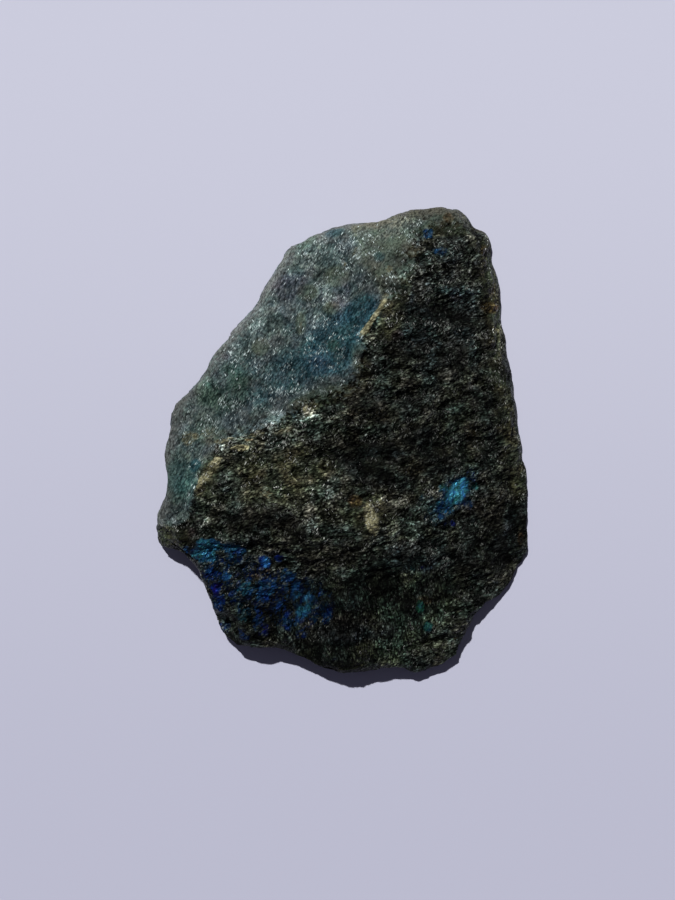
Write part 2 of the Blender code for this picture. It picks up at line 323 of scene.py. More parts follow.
NUDGES = (
    # the straight right edge
    Nudge(34.0, 27.0, 44.0, 12.0, turn=-82.0, over=0.65),
    Nudge(38.5, 0.0, 34.0, 10.0, turn=-82.0, over=0.7),
    # the corner of the narrow end
    Nudge(30.5, 44.0, 7.0, 7.0, over=0.35, up=0.2),
    Nudge(24.0, 49.0, 12.0, 5.0, turn=-15.0, over=0.3, up=0.5),
    # the lobe with its thin tip, and the notch under it
    Nudge(-31.2, -28.2, 9.0, 6.0, turn=-50.0, over=0.5, up=0.2),
    Nudge(-38.4, -22.6, 6.0, 6.0, over=-0.4, up=-0.2),
    Nudge(-41.8, -24.2, 15.0, 13.0, swell=-0.62),
    Nudge(-36.4, -24.8, 8.0, 5.0, up=0.5),
    Nudge(-26.0, -40.5, 9.0, 9.0, swell=-0.4),
    Nudge(-39.5, -14.0, 6.0, 9.0, over=0.7),
    # the lower right edge
    Nudge(36.0, -29.0, 14.0, 7.0, turn=60.0, over=0.7, up=-0.2, swell=-0.3),
    Nudge(39.0, -23.0, 6.0, 8.0, over=0.6),
    Nudge(26.6, -39.0, 14.0, 7.0, turn=66.0, over=1.0, up=-0.3),
    # the broad end
    Nudge(18.6, -49.0, 9.0, 6.0, up=-1.0),
    Nudge(23.4, -46.8, 6.0, 5.0, over=0.6, up=-0.5),
    Nudge(-17.0, -47.0, 8.0, 5.0, up=-0.6),
)

PATCHES: dict[Mark, tuple[Patch, ...]] = {
    Mark.TEAL: ovals(
        # the pale face, deepest against the ledge
        (4.3, 26.3, 10, 7, 1, 70), (-1.5, 21, 16, 11, 0.75, 60), (-9, 15.5, 22, 10, 0.6, 25),
        (-1.4, 43.9, 5, 2.2, 0.6, 15), (7.8, 38.3, 3, 2.6, 0.6), (-18.6, 8, 11, 6, 0.42),
        (0.1, 15.8, 5, 6, 0.42), (-20.5, 15.6, 6, 5, 0.36), (-9.6, 23.2, 8, 5, 0.38),
        # the small face at the left
        (-34, -7.5, 9, 8, 0.5, 90), (-30.5, -5, 3, 2.4, 1, 60),
        # spots in the dark stone
        (23, 31.6, 7, 2.2, 0.5), (20, -15.2, 7, 5, 0.6, 40), (-20.5, -36.6, 5, 5.4, 0.6),
    ),
    Mark.GREEN: ovals(
        (-7.4, 42, 6, 2.6, 0.7, 30), (-25, 11.2, 13, 11, 1), (-34, -8, 9, 12, 0.7),
        (-10, 10.9, 4, 3, 0.7, 20), (-30, 2, 10, 5, 0.5, 20), (16, -34, 20, 7, 0.4, 10),
        (-1, -16.5, 10, 5, 0.5, 10), (13, -17.5, 9, 7, 0.4, 10), (11, -42, 12, 10, 0.5),
        (8, -36, 40, 28, 0.6, 10), (24, 5, 12, 6, 0.4, 20),
    ),
    Mark.PLUM: ovals(
        (-11, 32.5, 9, 6.5, 0.6, 20), (-27, 15.5, 3, 12, 0.4, -50), (11.5, 21.8, 3, 3, 0.8),
        (24, 30.4, 3.4, 1.6, 0.8), (31.5, 32, 4, 3, 0.5), (-31.2, -19.2, 2, 2.4, 0.9),
        (-2, -34, 1.4, 6, 0.8), (18, -27, 6, 2, 0.4), (28, -15, 6, 5, 0.4), (2.6, -39.5, 20, 7, 0.9),
        (16, -34, 12, 8, 0.5), (-5.1, 15.6, 5, 5, 0.6), (0.1, 29, 5, 12, 0.5), (-25.6, 13, 5, 5, 0.6),
        (10.3, 43.9, 6, 5, 0.15), (-7.6, -38.4, 4, 3, 0.7),
    ),
    Mark.SLATE: ovals(
        # cooler stretches of the dark stone
        (20, 26, 24, 30, 0.6), (16, -24, 18, 8, 0.7), (33.6, -24, 5, 10, 0.7), (7, -3.5, 20, 5, 0.5),
        (0, -41, 13, 6, 0.9), (10.3, -30.6, 6, 6, 0.6), (1, -33.2, 6, 5, 0.7), (36.2, -17.8, 4, 7, 0.8),
        (-20.5, -25.5, 6, 5, 0.7),
    ),
    Mark.RUST: ovals(
        (2.7, -12.4, 3.4, 3.2, 0.8), (22.6, 47.4, 3, 2.6, 0.5), (31.6, 28.5, 5, 3, 0.7),
        (5, 22.9, 2.4, 1.6, 0.9, 30), (-29.2, -9.2, 1, 1.2, 0.6), (-19, 0.2, 2.4, 0.7, 0.6, 10),
        (-18.4, -28.2, 3, 2.4, 0.6), (-15.4, -27, 1.4, 1.4, 0.7), (38.6, -20.5, 1.6, 4, 0.7),
        (17.5, -33.8, 4, 2.6, 0.6), (30.5, 40.8, 2, 3, 0.6), (4, 4.8, 14, 5, 0.4), (27.6, 2.6, 9, 5, 0.36),
        (14, -4.9, 12, 5, 0.4), (5.4, -43.8, 7, 5, 0.36), (-7.6, -38.6, 4, 2.4, 0.4),
    ),
    Mark.OLIVE: ovals(
        # the narrow end, and the slope below the lit ledge
        (15, 48, 14, 5, 0.8), (20.5, 47.2, 20, 8, 1.8), (9.5, 45.4, 14, 9, 1.8), (9.5, 40, 13, 16, 1.1, 20),
        (10.6, 27, 14, 6, 0.9, 75), (11, 33, 7, 10, 1), (4, 16, 5, 10, 0.5, 20),
        # the bevel along the right edge
        (31.4, 39, 4, 8, 0.9, 8), (30.8, 41, 2.6, 6, 0.8, 10), (32, 30, 5, 24, 0.9, 6),
        (34.6, 8, 5, 28, 0.9, 8), (38, -8, 4, 12, 0.9),
        # the brown stone, the lobe and the broad end
        (-12, -7, 25, 13, 0.7, 8), (5.2, -15, 8, 10, 0.9), (26, 0, 14, 12, 0.35, 20), (6, -4.9, 6, 4, 0.6),
        (-28, -8, 5, 13, 1, -8), (-36, -20.4, 9, 6, 1.1), (2.6, -48.8, 9, 4, 1), (-7.7, -46.4, 7, 4, 0.6),
        # warm spots in the pale face and along its lower edge
        (-1, 34.5, 6, 5, 1), (-7.2, 31.2, 5, 4, 0.9), (-8.6, 24.5, 2.4, 5, 1.1), (-17.1, 19.8, 4, 4, 1.1),
        (-2.2, 27.7, 4, 3, 0.9), (-1.8, 19.8, 3, 3, 0.9), (-4, 9, 16, 4.4, 1, 15), (-26, 0.8, 8, 3, 0.7, 20),
    ),
    Mark.CREAM: ovals(
        # the lit ledge, top to bottom: partly its own cream, partly painted light where the step faces the
        # key light
        (8.8, 29.4, 4, 1.6, 0.8, 60), (7, 26.2, 6.4, 1.5, 1, 56), (4.8, 23, 4.4, 1.8, 1, 52),
        (2.4, 17.6, 0.9, 6, 0.5, -8),
        # the tan ledge and the flakes at the left
        (-27.4, -6.4, 3.4, 8, 0.74, -36), (-30, -9.4, 1.8, 4.4, 0.66, -30), (-26, -4, 3, 3, 0.5),
        (-24.4, 0.2, 7, 1.4, 0.8, 10), (-21, -1.5, 4.4, 1.6, 1.5, 8), (-17.6, 1.4, 5, 1.6, 0.75, 12),
        (-12, 2, 5, 1.8, 0.75, 20), (-7.5, 6.5, 1.3, 2, 1, -20), (-15.6, -10.8, 6, 3.4, 0.62, -50),
        (-32.2, 0.6, 4.4, 4, 0.8), (-28, 2, 6, 2.4, 0.7, 20),
        # the cream patch on the dark stone
        (6, -16.4, 2.7, 7.4, 0.9, 14), (6.2, -15.6, 5, 9.4, 0.45, 10),
        # streaks in the pale face
        (-8.6, 24, 0.9, 3.8, 0.7), (-17.2, 19.2, 2, 3, 0.5), (0.6, 37, 1.4, 1.8, 0.8, 30),
        (2.8, 39.6, 1.2, 3, 0.7, -30), (9.8, 35.5, 2, 2.6, 0.8, -30), (-0.8, 33.8, 1.4, 1.4, 0.6),
        # streaks along the broad end
        (25.8, -35.8, 5, 1.4, 0.5, 30), (24.2, -42.6, 1.4, 6, 0.5, -15), (31.4, -30.2, 3.4, 2, 0.4, 30),
        (-8.7, -40.6, 0.8, 3.2, 0.8),
    ),
    # painted light and shade, with some of the stone's own tone: ovals that make the stone lighter or darker
    Mark.PAINTED_LIGHT_AND_TONE: ovals(
        # the narrow end
        (20.8, 48.4, 14, 3.6, -0.5), (25.3, 47.1, 4, 3, 0.7), (10, 45, 8, 8, 0.4), (25.7, 43.9, 5, 4, 0.7),
        (1, 43.5, 14, 8, 0.6, 6), (23.6, 41.1, 5, 5, -0.7), (12, 41, 6, 14, 0.2),
        (31.6, 40, 16, 3.4, 1.4, -82), (12.9, 38.7, 5, 5, -0.7), (-11, 38.5, 17, 9, 0.75, 38),
        (20, 38, 20, 20, 0.5), (11.6, 37.2, 4.4, 7, -0.5), (23.2, 36.6, 5, 5, -0.7),
        # the pale face
        (10.8, 32, 6, 7, 0.6), (-1, 31.5, 10, 6, 0.5), (-13.4, 27.6, 3, 4, 0.7),
        (3.6, 27.6, 9, 6, -0.5, 65), (-7.9, 27.4, 4, 5, 0.6, 20), (1.1, 27, 6, 5, 0.6, 40),
        (0.1, 25.9, 5, 5, 0.5), (-21.5, 25.5, 24, 9, 0.7, 55), (-9, 24.6, 14, 12, 0.15),
        (-0.3, 17.5, 3.1, 3.6, -1.3), (-11, 14.6, 21, 9.6, -0.3, 10), (-16, 14.5, 8, 5, 0.5),
        (-28.8, 12.4, 4, 3, 0.6, -30), (-1, 11.8, 15, 3, -0.6, 18), (-5.1, 10.9, 4.4, 6, -0.5),
        (-25, 10.8, 9, 9, 0.12), (-24, 9.5, 7, 7, -0.6), (-20.3, 9, 5, 6, -0.8),
        (-10.6, 7.9, 10, 4.6, -0.8), (-18.4, 5.4, 5, 3.6, -0.6), (-17.5, 4.9, 5, 3, -0.6, 40),
        (-27.6, -2.4, 5, 2.4, -0.6), (-35.4, -10, 7, 14, -0.15), (-36, -14.6, 6, 6, -0.15),
        # the dark face beside it
        (13.8, 33.6, 5, 6, 0.6), (11, 30.8, 5.6, 5, -2.2), (10.1, 29, 5, 3.8, 1.5, 50),
        (10.4, 27.4, 16, 5, 1, 75), (21.6, 26.5, 12, 4.5, -1.4), (24.9, 26.5, 6.6, 5, -1.3),
        (23.8, 24.2, 6, 3.4, 1.2), (6, 23.8, 4, 7, 1, -30), (9.3, 23.1, 5, 4.4, 0.7), (20, 22.3, 5, 5, 0.8),
        (10.3, 20.8, 4.6, 4.6, 0.9), (23.2, 20, 6, 16, -0.8), (10.3, 19.5, 8, 8, -1.3),
        (13.6, 19.2, 9, 5, -0.6, 65), (6.4, 19, 4, 6, 0.9), (5.4, 18.6, 4, 5, 0.7),
        (19.8, 18.4, 12, 6, -0.5, -40), (20.6, 18.2, 5, 4.6, -0.7), (24.5, 16.7, 4.6, 7, -0.5),
        (18, 16, 18, 16, -0.2), (9.5, 13.9, 7, 6, -0.6), (20.6, 12, 8, 5, 0.7, 30), (6.7, 10.9, 4, 5, 0.7),
        (-1, 9.6, 4, 4, 0.5), (25.3, 9.2, 4.4, 4, 0.6), (27.5, 8.8, 6, 5, -0.9), (18, 7.9, 5, 4.4, -0.7),
        (2.8, 7.8, 4.5, 4.7, -1.3), (8.6, 7.1, 6, 3.4, -0.5), (8.2, 6.6, 11, 8, -1.3),
        (15.5, 5.3, 5, 5, 0.6), (16, 4, 8, 14, -0.6, 40), (24.4, 4, 11, 6.4, -0.8, -20),
        (3.9, 2.6, 5, 6, 0.7), (16.3, 0.6, 13, 5.5, -0.8, -40), (15.7, 0.2, 6, 6, -0.6),
        (-0.4, -0.2, 6, 7, -0.8), (13.5, -1, 12, 8, -0.9), (23, -3.2, 12, 5, -0.6, 40),
        (6, -3.6, 14, 9, -1.8), (20.2, -4.3, 10, 6, -0.9, -30), (18, -4.9, 5, 4.4, -0.6),
        # the small face, tan ledge and lobe at the left
        (-26.6, -4.4, 4, 5, 0.3, -30), (-28, -7.2, 4, 12, 0.5, -30), (-28.6, -9.6, 5, 7, 0.6),
        (-30.3, -12.9, 2.4, 1.8, -1.5), (-27.8, -14.6, 7, 7, 0.6), (-28.2, -15, 6, 4, 0.7, 45),
        (-38.5, -18.4, 3, 4, 0.8), (-31.7, -19.5, 4.5, 4.8, -2.5), (-27.8, -19.7, 4, 6, 0.5),
        (-38, -20, 4, 6, 0.5), (-36.6, -20, 6, 6, 1.2), (-29.9, -28.9, 3, 3, 0.7),
        (-26.1, -37.1, 4, 4, 0.7),
        # the bevel along the right edge, where painted light lifts the slope that faces away from the key
        # light
        (33.2, 28, 16, 3.4, 1.7, -84), (33, 24.4, 3.6, 4, 0.6), (29.6, 19.5, 5, 7, 0.5),
        (34.3, 15.9, 3.8, 4.6, -1.4), (32.6, 15.8, 3.4, 5, 0.4), (34.4, 15, 17, 3.4, 1.5, -82),
        (34.9, 12.6, 4, 9, -0.8), (30.9, 7.9, 4, 5, -0.7), (30.2, 6.8, 6, 12, -0.8),
        (36, 5.1, 2.4, 4, -0.8), (36.8, 3, 14, 3.2, 1.3, -80), (29, -1.1, 6, 4.6, -0.8),
        (36, -2.4, 4, 6, 0.8), (38.2, -8, 13, 3.2, 0.8, -84), (38.2, -9.2, 3.6, 3, 0.8),
        # the brown stone across the middle
        (-7.7, 7.6, 4.4, 4, -0.6), (-7, 7, 4, 3, 0.8), (-9, 5.6, 14, 7, 1, 20),
        (-11.1, 4.4, 11, 3.6, 0.6, 15), (-5.8, 4.3, 4.4, 3.4, 2), (-15.4, 0.2, 5, 5, 0.6),
        (-21.8, -0.9, 9, 4, 1.2, 10), (-17.8, -1.2, 4.7, 4.2, 1.4), (-8.7, -1.7, 5, 3.6, 0.6),
        (-3, -2, 11, 6, -0.6), (-24.2, -2.4, 4.4, 3.7, 1.6), (-3.8, -4.1, 8, 3.6, -0.5),
        (-10.2, -4.9, 6, 5, -0.9), (-13, -6.5, 26, 12, 1.5, 8), (7.4, -7.1, 6.4, 4.9, -2.3),
        (-23, -7.4, 2.4, 2, 1.2), (6.7, -7.5, 7, 5, -1.3), (-18, -8.6, 9, 7, -0.8),
        (-19.9, -11.4, 5, 6, 0.7), (-13.4, -11.4, 6, 5, 0.9), (-8.3, -11.4, 9, 6, 0.75, 20),
        (6.6, -11.8, 5, 3, 0.8), (-18.4, -12, 5, 5, 0.6), (8, -12.4, 4, 2.4, 1), (-1.5, -13.5, 13, 14, 1),
        (-22.2, -13.9, 4, 5.4, -0.6), (9.5, -14.6, 5, 5, 0.7), (-15.2, -14.8, 5, 4, -0.7),
        (5.7, -15, 3, 6, 0.5, 10), (-24.5, -15.4, 3, 3, -0.4), (-15.8, -15.9, 11, 6, -0.9),
        (-22.6, -17, 9, 5, -0.7), (-16.4, -17.2, 15, 6, -0.6), (-11, -17.2, 6, 4, -0.9),
        (-2.5, -17.6, 4, 4, -0.9), (-6.5, -17.8, 3.4, 3, 1.2, -40), (0.5, -17.8, 14, 5, -0.5, -45),
        (3.9, -19, 8, 6, 0.8), (-9.1, -19.2, 5, 4.8, -2.4), (-4, -19.5, 5, 4.6, 0.7),
        # under the flash, at the lower left
        (-0.6, -26.6, 5.4, 4, 0.8), (1.8, -26.6, 4.4, 2.4, 1), (-2.5, -28.1, 5, 5, 0.6),
        (-5.9, -28.9, 14, 6.5, -0.6, 40), (-6.6, -29.4, 9, 7, -0.6), (-20, -31, 26, 16, -0.5, -25),
        (-0.5, -32, 8, 24, -1.3), (0.4, -32.4, 10, 6, -0.6), (-5.1, -32.6, 4, 5, 0.6),
        (-8.6, -33, 12, 8, -0.7), (-7.2, -33.2, 9, 5, -1), (-23.1, -34, 5, 6, 0.8),
        (-14.9, -34.9, 5.6, 4.2, -1.7), (-14.5, -34.9, 9, 9, -0.8), (-13.6, -35.1, 14, 7.5, -0.7, 45),
        (-6.8, -37.5, 5, 4.4, 0.5), (-17.5, -38.3, 12, 14, -0.9), (1.6, -39.8, 8, 9, -0.5),
        (-21.6, -41.2, 6, 4.4, -1.2), (-23.6, -42.6, 5, 4, -2.9), (-6.2, -44.4, 6, 4, -1.6),
        (-5, -44.8, 18, 7, -1.5, -20), (0.6, -45.4, 17, 9, -0.8), (-15.6, -46.5, 9, 4, -0.6, -40),
        # the lower right
        (17, -7.1, 11, 6, -0.8, 45), (17.2, -7.3, 4.4, 7, -0.5), (18, -11.5, 13, 9, 0.9),
        (22.1, -12.6, 5, 5, 0.7), (17.8, -14.4, 5, 4, 0.5), (12.9, -15.2, 5, 5, -0.7),
        (38.8, -15.4, 5.4, 4, -1), (38.2, -16, 7, 9, -0.6), (38.8, -17.4, 6, 4, -0.9),
        (15.5, -17.8, 5, 4.4, 0.7), (35.6, -18.2, 8, 8, -0.6), (30.2, -18.9, 5.6, 6, 0.75),
        (33, -19, 10, 12, -0.2), (13.5, -19.5, 14, 4, 0.6, 10), (14, -19.5, 5, 4, 0.7),
        (31, -21, 20, 16, -1, 10), (34, -22.5, 14, 6, -1, -55), (14.6, -22.7, 7.5, 4, -0.6),
        (20.2, -23.3, 9, 8, -0.5), (33.5, -25.5, 4.6, 4.6, 0.7), (26.2, -25.6, 6, 5.2, -2.7),
        (32, -27, 10, 5, -0.9, 30), (35.4, -28.5, 4, 3, -0.8), (14.1, -28.9, 5, 4.8, 2.9),
        # the broad end
        (5.2, -24.4, 12, 6, -0.5), (9.4, -25, 16, 5, -0.9), (9, -30, 16, 10, -1.9),
        (20.6, -30.6, 5, 5, -0.7), (4.2, -30.8, 4, 5, 0.8), (6, -31, 14, 8, -0.3), (21, -31, 12, 7, -1),
        (8.3, -31.5, 5.6, 5.5, -1.4), (29.8, -32.6, 6, 5, -0.7), (24, -33, 10, 8, -0.5),
        (12.9, -33.2, 5, 4.6, -0.9), (30.9, -33.2, 5, 4.6, -0.7), (13, -34.5, 9, 5.2, -1.5, -28),
        (20.6, -36, 5, 5, 0.6), (18.5, -36.2, 5, 4.4, 0.7), (23, -38, 9, 12, 0.3), (7.8, -40.9, 5, 5, 0.8),
        (8.5, -46.5, 10, 4, 0.8), (10.3, -49.2, 6, 3, 0.8),
    ),
    # painted highlights: where the bright flecks gather more thickly, or more thinly below 0
    Mark.PAINTED_HIGHLIGHTS: ovals(
        # thick streaks at the head of the pale face, and along its lower edge
        (1.6, 39.3, 7, 11, 0.9, -20), (10.1, 34.8, 5, 8, 0.5, -20), (-4.7, 40.2, 12, 6, 0.4, 20),
        (-15.4, 34.8, 9, 7, 0.5, 40), (-17.6, 24.6, 4, 6, 0.5, -30), (-21.5, 18.6, 9, 8, 0.6, 30),
        (-6.4, 25.4, 10, 7, 0.4, 20), (-10.9, 17, 15, 8, 0.6, 20), (-2.6, 17.4, 6, 6, 0.6),
        (-15.4, 8.6, 15, 6, 0.6, 15), (-26, 3, 12, 6, 0.6, 15), (-0.4, 29.6, 12, 5, 0.4, 20),
        (-7.3, 6.4, 4, 4, 1), (-18, 1, 14, 5, 0.6, 10), (-3, 11, 14, 4, 0.3, 15),
        # grey sprinkles on the dark stone
        (20.3, 25, 12, 5, 0.6), (18.5, 34.9, 14, 8, 0.4), (-7, 1, 14, 6, 0.4, 20),
        (-14, -10.4, 6, 3.4, 0.8, -50), (-6.5, -17.8, 5, 4, 1, -40), (7, -13, 6, 9, 0.7, 20),
        (6, -15.5, 4, 8, 1.4, 10), (2, -26, 7, 4, 0.8), (26, -5, 10, 7, 0.3, 50), (20.5, -26.5, 6, 4, 0.3),
        (26, -36, 5, 12, 0.4, -30), (33.4, 14, 3, 14, 0.5, 6),
        # smooth stretches, with few of them
        (6, 28, 6, 9, -0.7, -25), (-11, 30.5, 5, 5, -0.4), (-35, -8, 6, 14, -0.7), (-16, -9, 22, 9, -0.5),
        (20, 17, 20, 12, -0.3, 10), (22, 47, 14, 6, -0.8), (5, -36, 50, 22, -0.6, 10),
        (36, -20, 8, 12, -0.5), (8, -3, 14, 8, -0.4), (-35, -20, 8, 4, -0.5), (-20, -17, 14, 5, -0.4),
    ),
    Mark.FAN: ovals(
        (3, -38, 34, 22, 1), (16, -33, 18, 16, 0.8, 40), (-8, -42, 12, 12, 0.7),
    ),
}

# Rows as those of a patch, with their turn and hue.
FLASHES = tuple(Flash(*row) for row in (
    # the bright one at the right
    (24.4, -10.6, 7.2, 4.2, 1.25, 54, 0.76), (23.4, -11.8, 12.6, 8.4, 0.5, 50, 0.56),
    (27.6, -7, 4.2, 3.6, 0.42, 60, 0.36), (22.7, -11.8, 4, 5, 0.72, 0, 0.68),
    (21.2, -9.9, 3, 2.4, 0.6, 60, 0.9), (28.4, -9.6, 2.4, 2.4, 0.6, 60, 0.9),
    (20.4, -15, 10, 8, 0.4, 40, 0.64), (22.8, -17.4, 3.4, 2, 0.5, 0, 0.3),
    (26.8, -13.4, 3.6, 3.2, 0.5, 0, 0.5), (17.8, -12.6, 5.4, 4.4, 0.34, 0, 0.62),
    # the broad field at the lower left, then the brighter spots in it
    (-21, -29.5, 27, 16, 0.42, -25, 0.48), (-9, -34, 18, 17, 0.42, 0, 0.5),
    (-29, -23.8, 8, 4, 0.7, -10, 0.72), (-27.6, -21.6, 6.4, 3.6, 0.78, -10, 0.72),
    (-17.5, -33.6, 4, 4, 0.5, 0, 0.5), (-32.6, -22.9, 3.4, 2.4, 0.5, 0, 0.5),
    (-22.6, -22.6, 7, 3.6, 0.58, -10, 0.6), (-16, -25, 3.3, 2.8, 0.7, 0, 0.5),
    (-15.9, -25.4, 2.2, 2.2, 1.4, 0, 0.56), (-13, -24.4, 3, 2, 0.65, 0, 0.3),
    (-7.4, -35.4, 2.2, 4.6, 0.6, -25, 0.84), (-27.3, -28, 4.4, 3.2, 0.6, 0, 0.42),
    (-24.1, -28.3, 2.4, 2, 0.75, 0, 0.74), (-26.4, -30.8, 3, 3.6, 0.68, 0, 0.12),
    (-20, -31, 5, 4.4, 0.55, 0, 0.78), (-15.6, -30.6, 5, 5, 0.6, 0, 0.58),
    (-11.6, -28.2, 4.4, 4.4, 0.56, 0, 0.56), (-9.8, -31.5, 3, 6, 0.55, 0, 0.66),
    (-7, -33.2, 2.6, 5.4, 0.52, -10, 0.62), (-8.4, -36, 3.4, 3.4, 0.66, 0, 0.76),
    (-17.8, -37.6, 3.4, 8, 0.5, 0, 0.42), (-16.6, -39.8, 3.4, 3.8, 0.5, 0, 0.25),
    (-11.6, -37.9, 3.2, 5.4, 0.54, 0, 0.44), (-3.2, -36.2, 3.8, 6.4, 0.5, 0, 0.5),
    (-20.5, -36.6, 5, 5.4, 0.4, 0, 0.78), (-26, -34, 4.4, 5.4, 0.55, 0, 0.45),
    (-24.8, -27.8, 3.4, 3.4, 0.5, 0, 0.5), (-16.4, -32.4, 4.4, 4.4, 0.66, 0, 0.5),
    (-25.2, -39.8, 3.4, 3.4, 0.45, 0, 0.4), (-20.8, -40.8, 4, 3.6, 0.45, 0, 0.4),
    (-2.6, -34.6, 3.4, 3.6, 0.42, 0, 0.35), (-8.7, -40.9, 3.8, 3.4, 0.5, 0, 0.45),
    # single specks elsewhere
    (18.2, 43.7, 3.4, 3, 0.52, 0, 0.5), (20.6, 39.6, 3.8, 3, 0.52, 0, 0.62),
    (17.8, -26.6, 3.8, 1.6, 0.4, 0, 0.2), (14.8, -26.8, 1.8, 4, 0.35, 0, 0.85),
    (-1.4, -46.3, 2.8, 1.6, 0.35, 0, 0.2), (16.6, -35, 2.2, 3.6, 0.72, 0, 0.98),
    (18.4, -39.4, 2.6, 3.2, 0.66, 0, 0.94), (2, 25.5, 1.2, 1.2, 0.5, 0, 0.88),
))


class Wire:
    """A shader socket that can be reckoned with: each operation adds the node that it needs."""

    def __init__(self, board: "Board", socket: bpy.types.NodeSocket) -> None:
        """Keeps the socket and the board that it is on."""
        self.board = board
        self.socket = socket

    def also(self, name: str) -> "Wire":
        """Another output of the same node."""
        return Wire(self.board, self.socket.node.outputs[name])

    def _reckon(self, operation: str, first: Feed, second: Feed) -> "Wire":
        """Adds the node for an operation on two feeds.

        Args:
            operation: The node's operation.
            first: What the operation starts from.
            second: What it takes in.

        Returns:
            The result, a vector where either feed is one.
        """
        feeds = [feed for feed in (first, second) if isinstance(feed, Wire)]
        plain = all(feed.socket.type == "VALUE" for feed in feeds)
        kind = "ShaderNodeMath" if plain else "ShaderNodeVectorMath"
        return self.board.add(kind, {"operation": operation}, {0: first, 1: second})

    def __add__(self, other: Feed) -> "Wire":
        """This plus the other."""
        return self._reckon("ADD", self, other)

    def __radd__(self, other: Feed) -> "Wire":
        """The other plus this."""
        return self._reckon("ADD", other, self)

    def __sub__(self, other: Feed) -> "Wire":
        """This less the other."""
        return self._reckon("SUBTRACT", self, other)

    def __rsub__(self, other: Feed) -> "Wire":
        """The other less this."""
        return self._reckon("SUBTRACT", other, self)

    def __mul__(self, other: Feed) -> "Wire":
        """This times the other."""
        return self._reckon("MULTIPLY", self, other)

    def __rmul__(self, other: Feed) -> "Wire":
        """The other times this."""
        return self._reckon("MULTIPLY", other, self)

    def __pow__(self, other: Feed) -> "Wire":
        """This to the power of the other."""
        return self._reckon("POWER", self, other)

    def __rpow__(self, other: Feed) -> "Wire":
        """The other to the power of this."""
        return self._reckon("POWER", other, self)

    def larger(self, other: Feed) -> "Wire":
        """The larger of this and the other."""
        return self._reckon("MAXIMUM", self, other)

    def __abs__(self) -> "Wire":
        """This without its sign."""
        return self.board.add("ShaderNodeMath", {"operation": "ABSOLUTE"}, {0: self})

    def unit(self) -> "Wire":
        """This vector at a length of 1."""
        return self.board.add("ShaderNodeVectorMath", {"operation": "NORMALIZE"}, {0: self})

    def step(self, low: float, high: float) -> "Wire":
        """A smooth step from 0 at low to 1 at high."""
        settings = {"interpolation_type": "SMOOTHSTEP"}
        return self.board.add("ShaderNodeMapRange", settings, {0: self, 1: low, 2: high})

    def clamp(self) -> "Wire":
        """This kept between 0 and 1."""
        return self.board.add("ShaderNodeClamp", {}, {0: self})

    def split(self) -> "Wire":
        """The first of a colour's or a vector's three numbers, with also("Y") and also("Z") beside it."""
        return self.board.add("ShaderNodeSeparateXYZ", {}, {0: self})


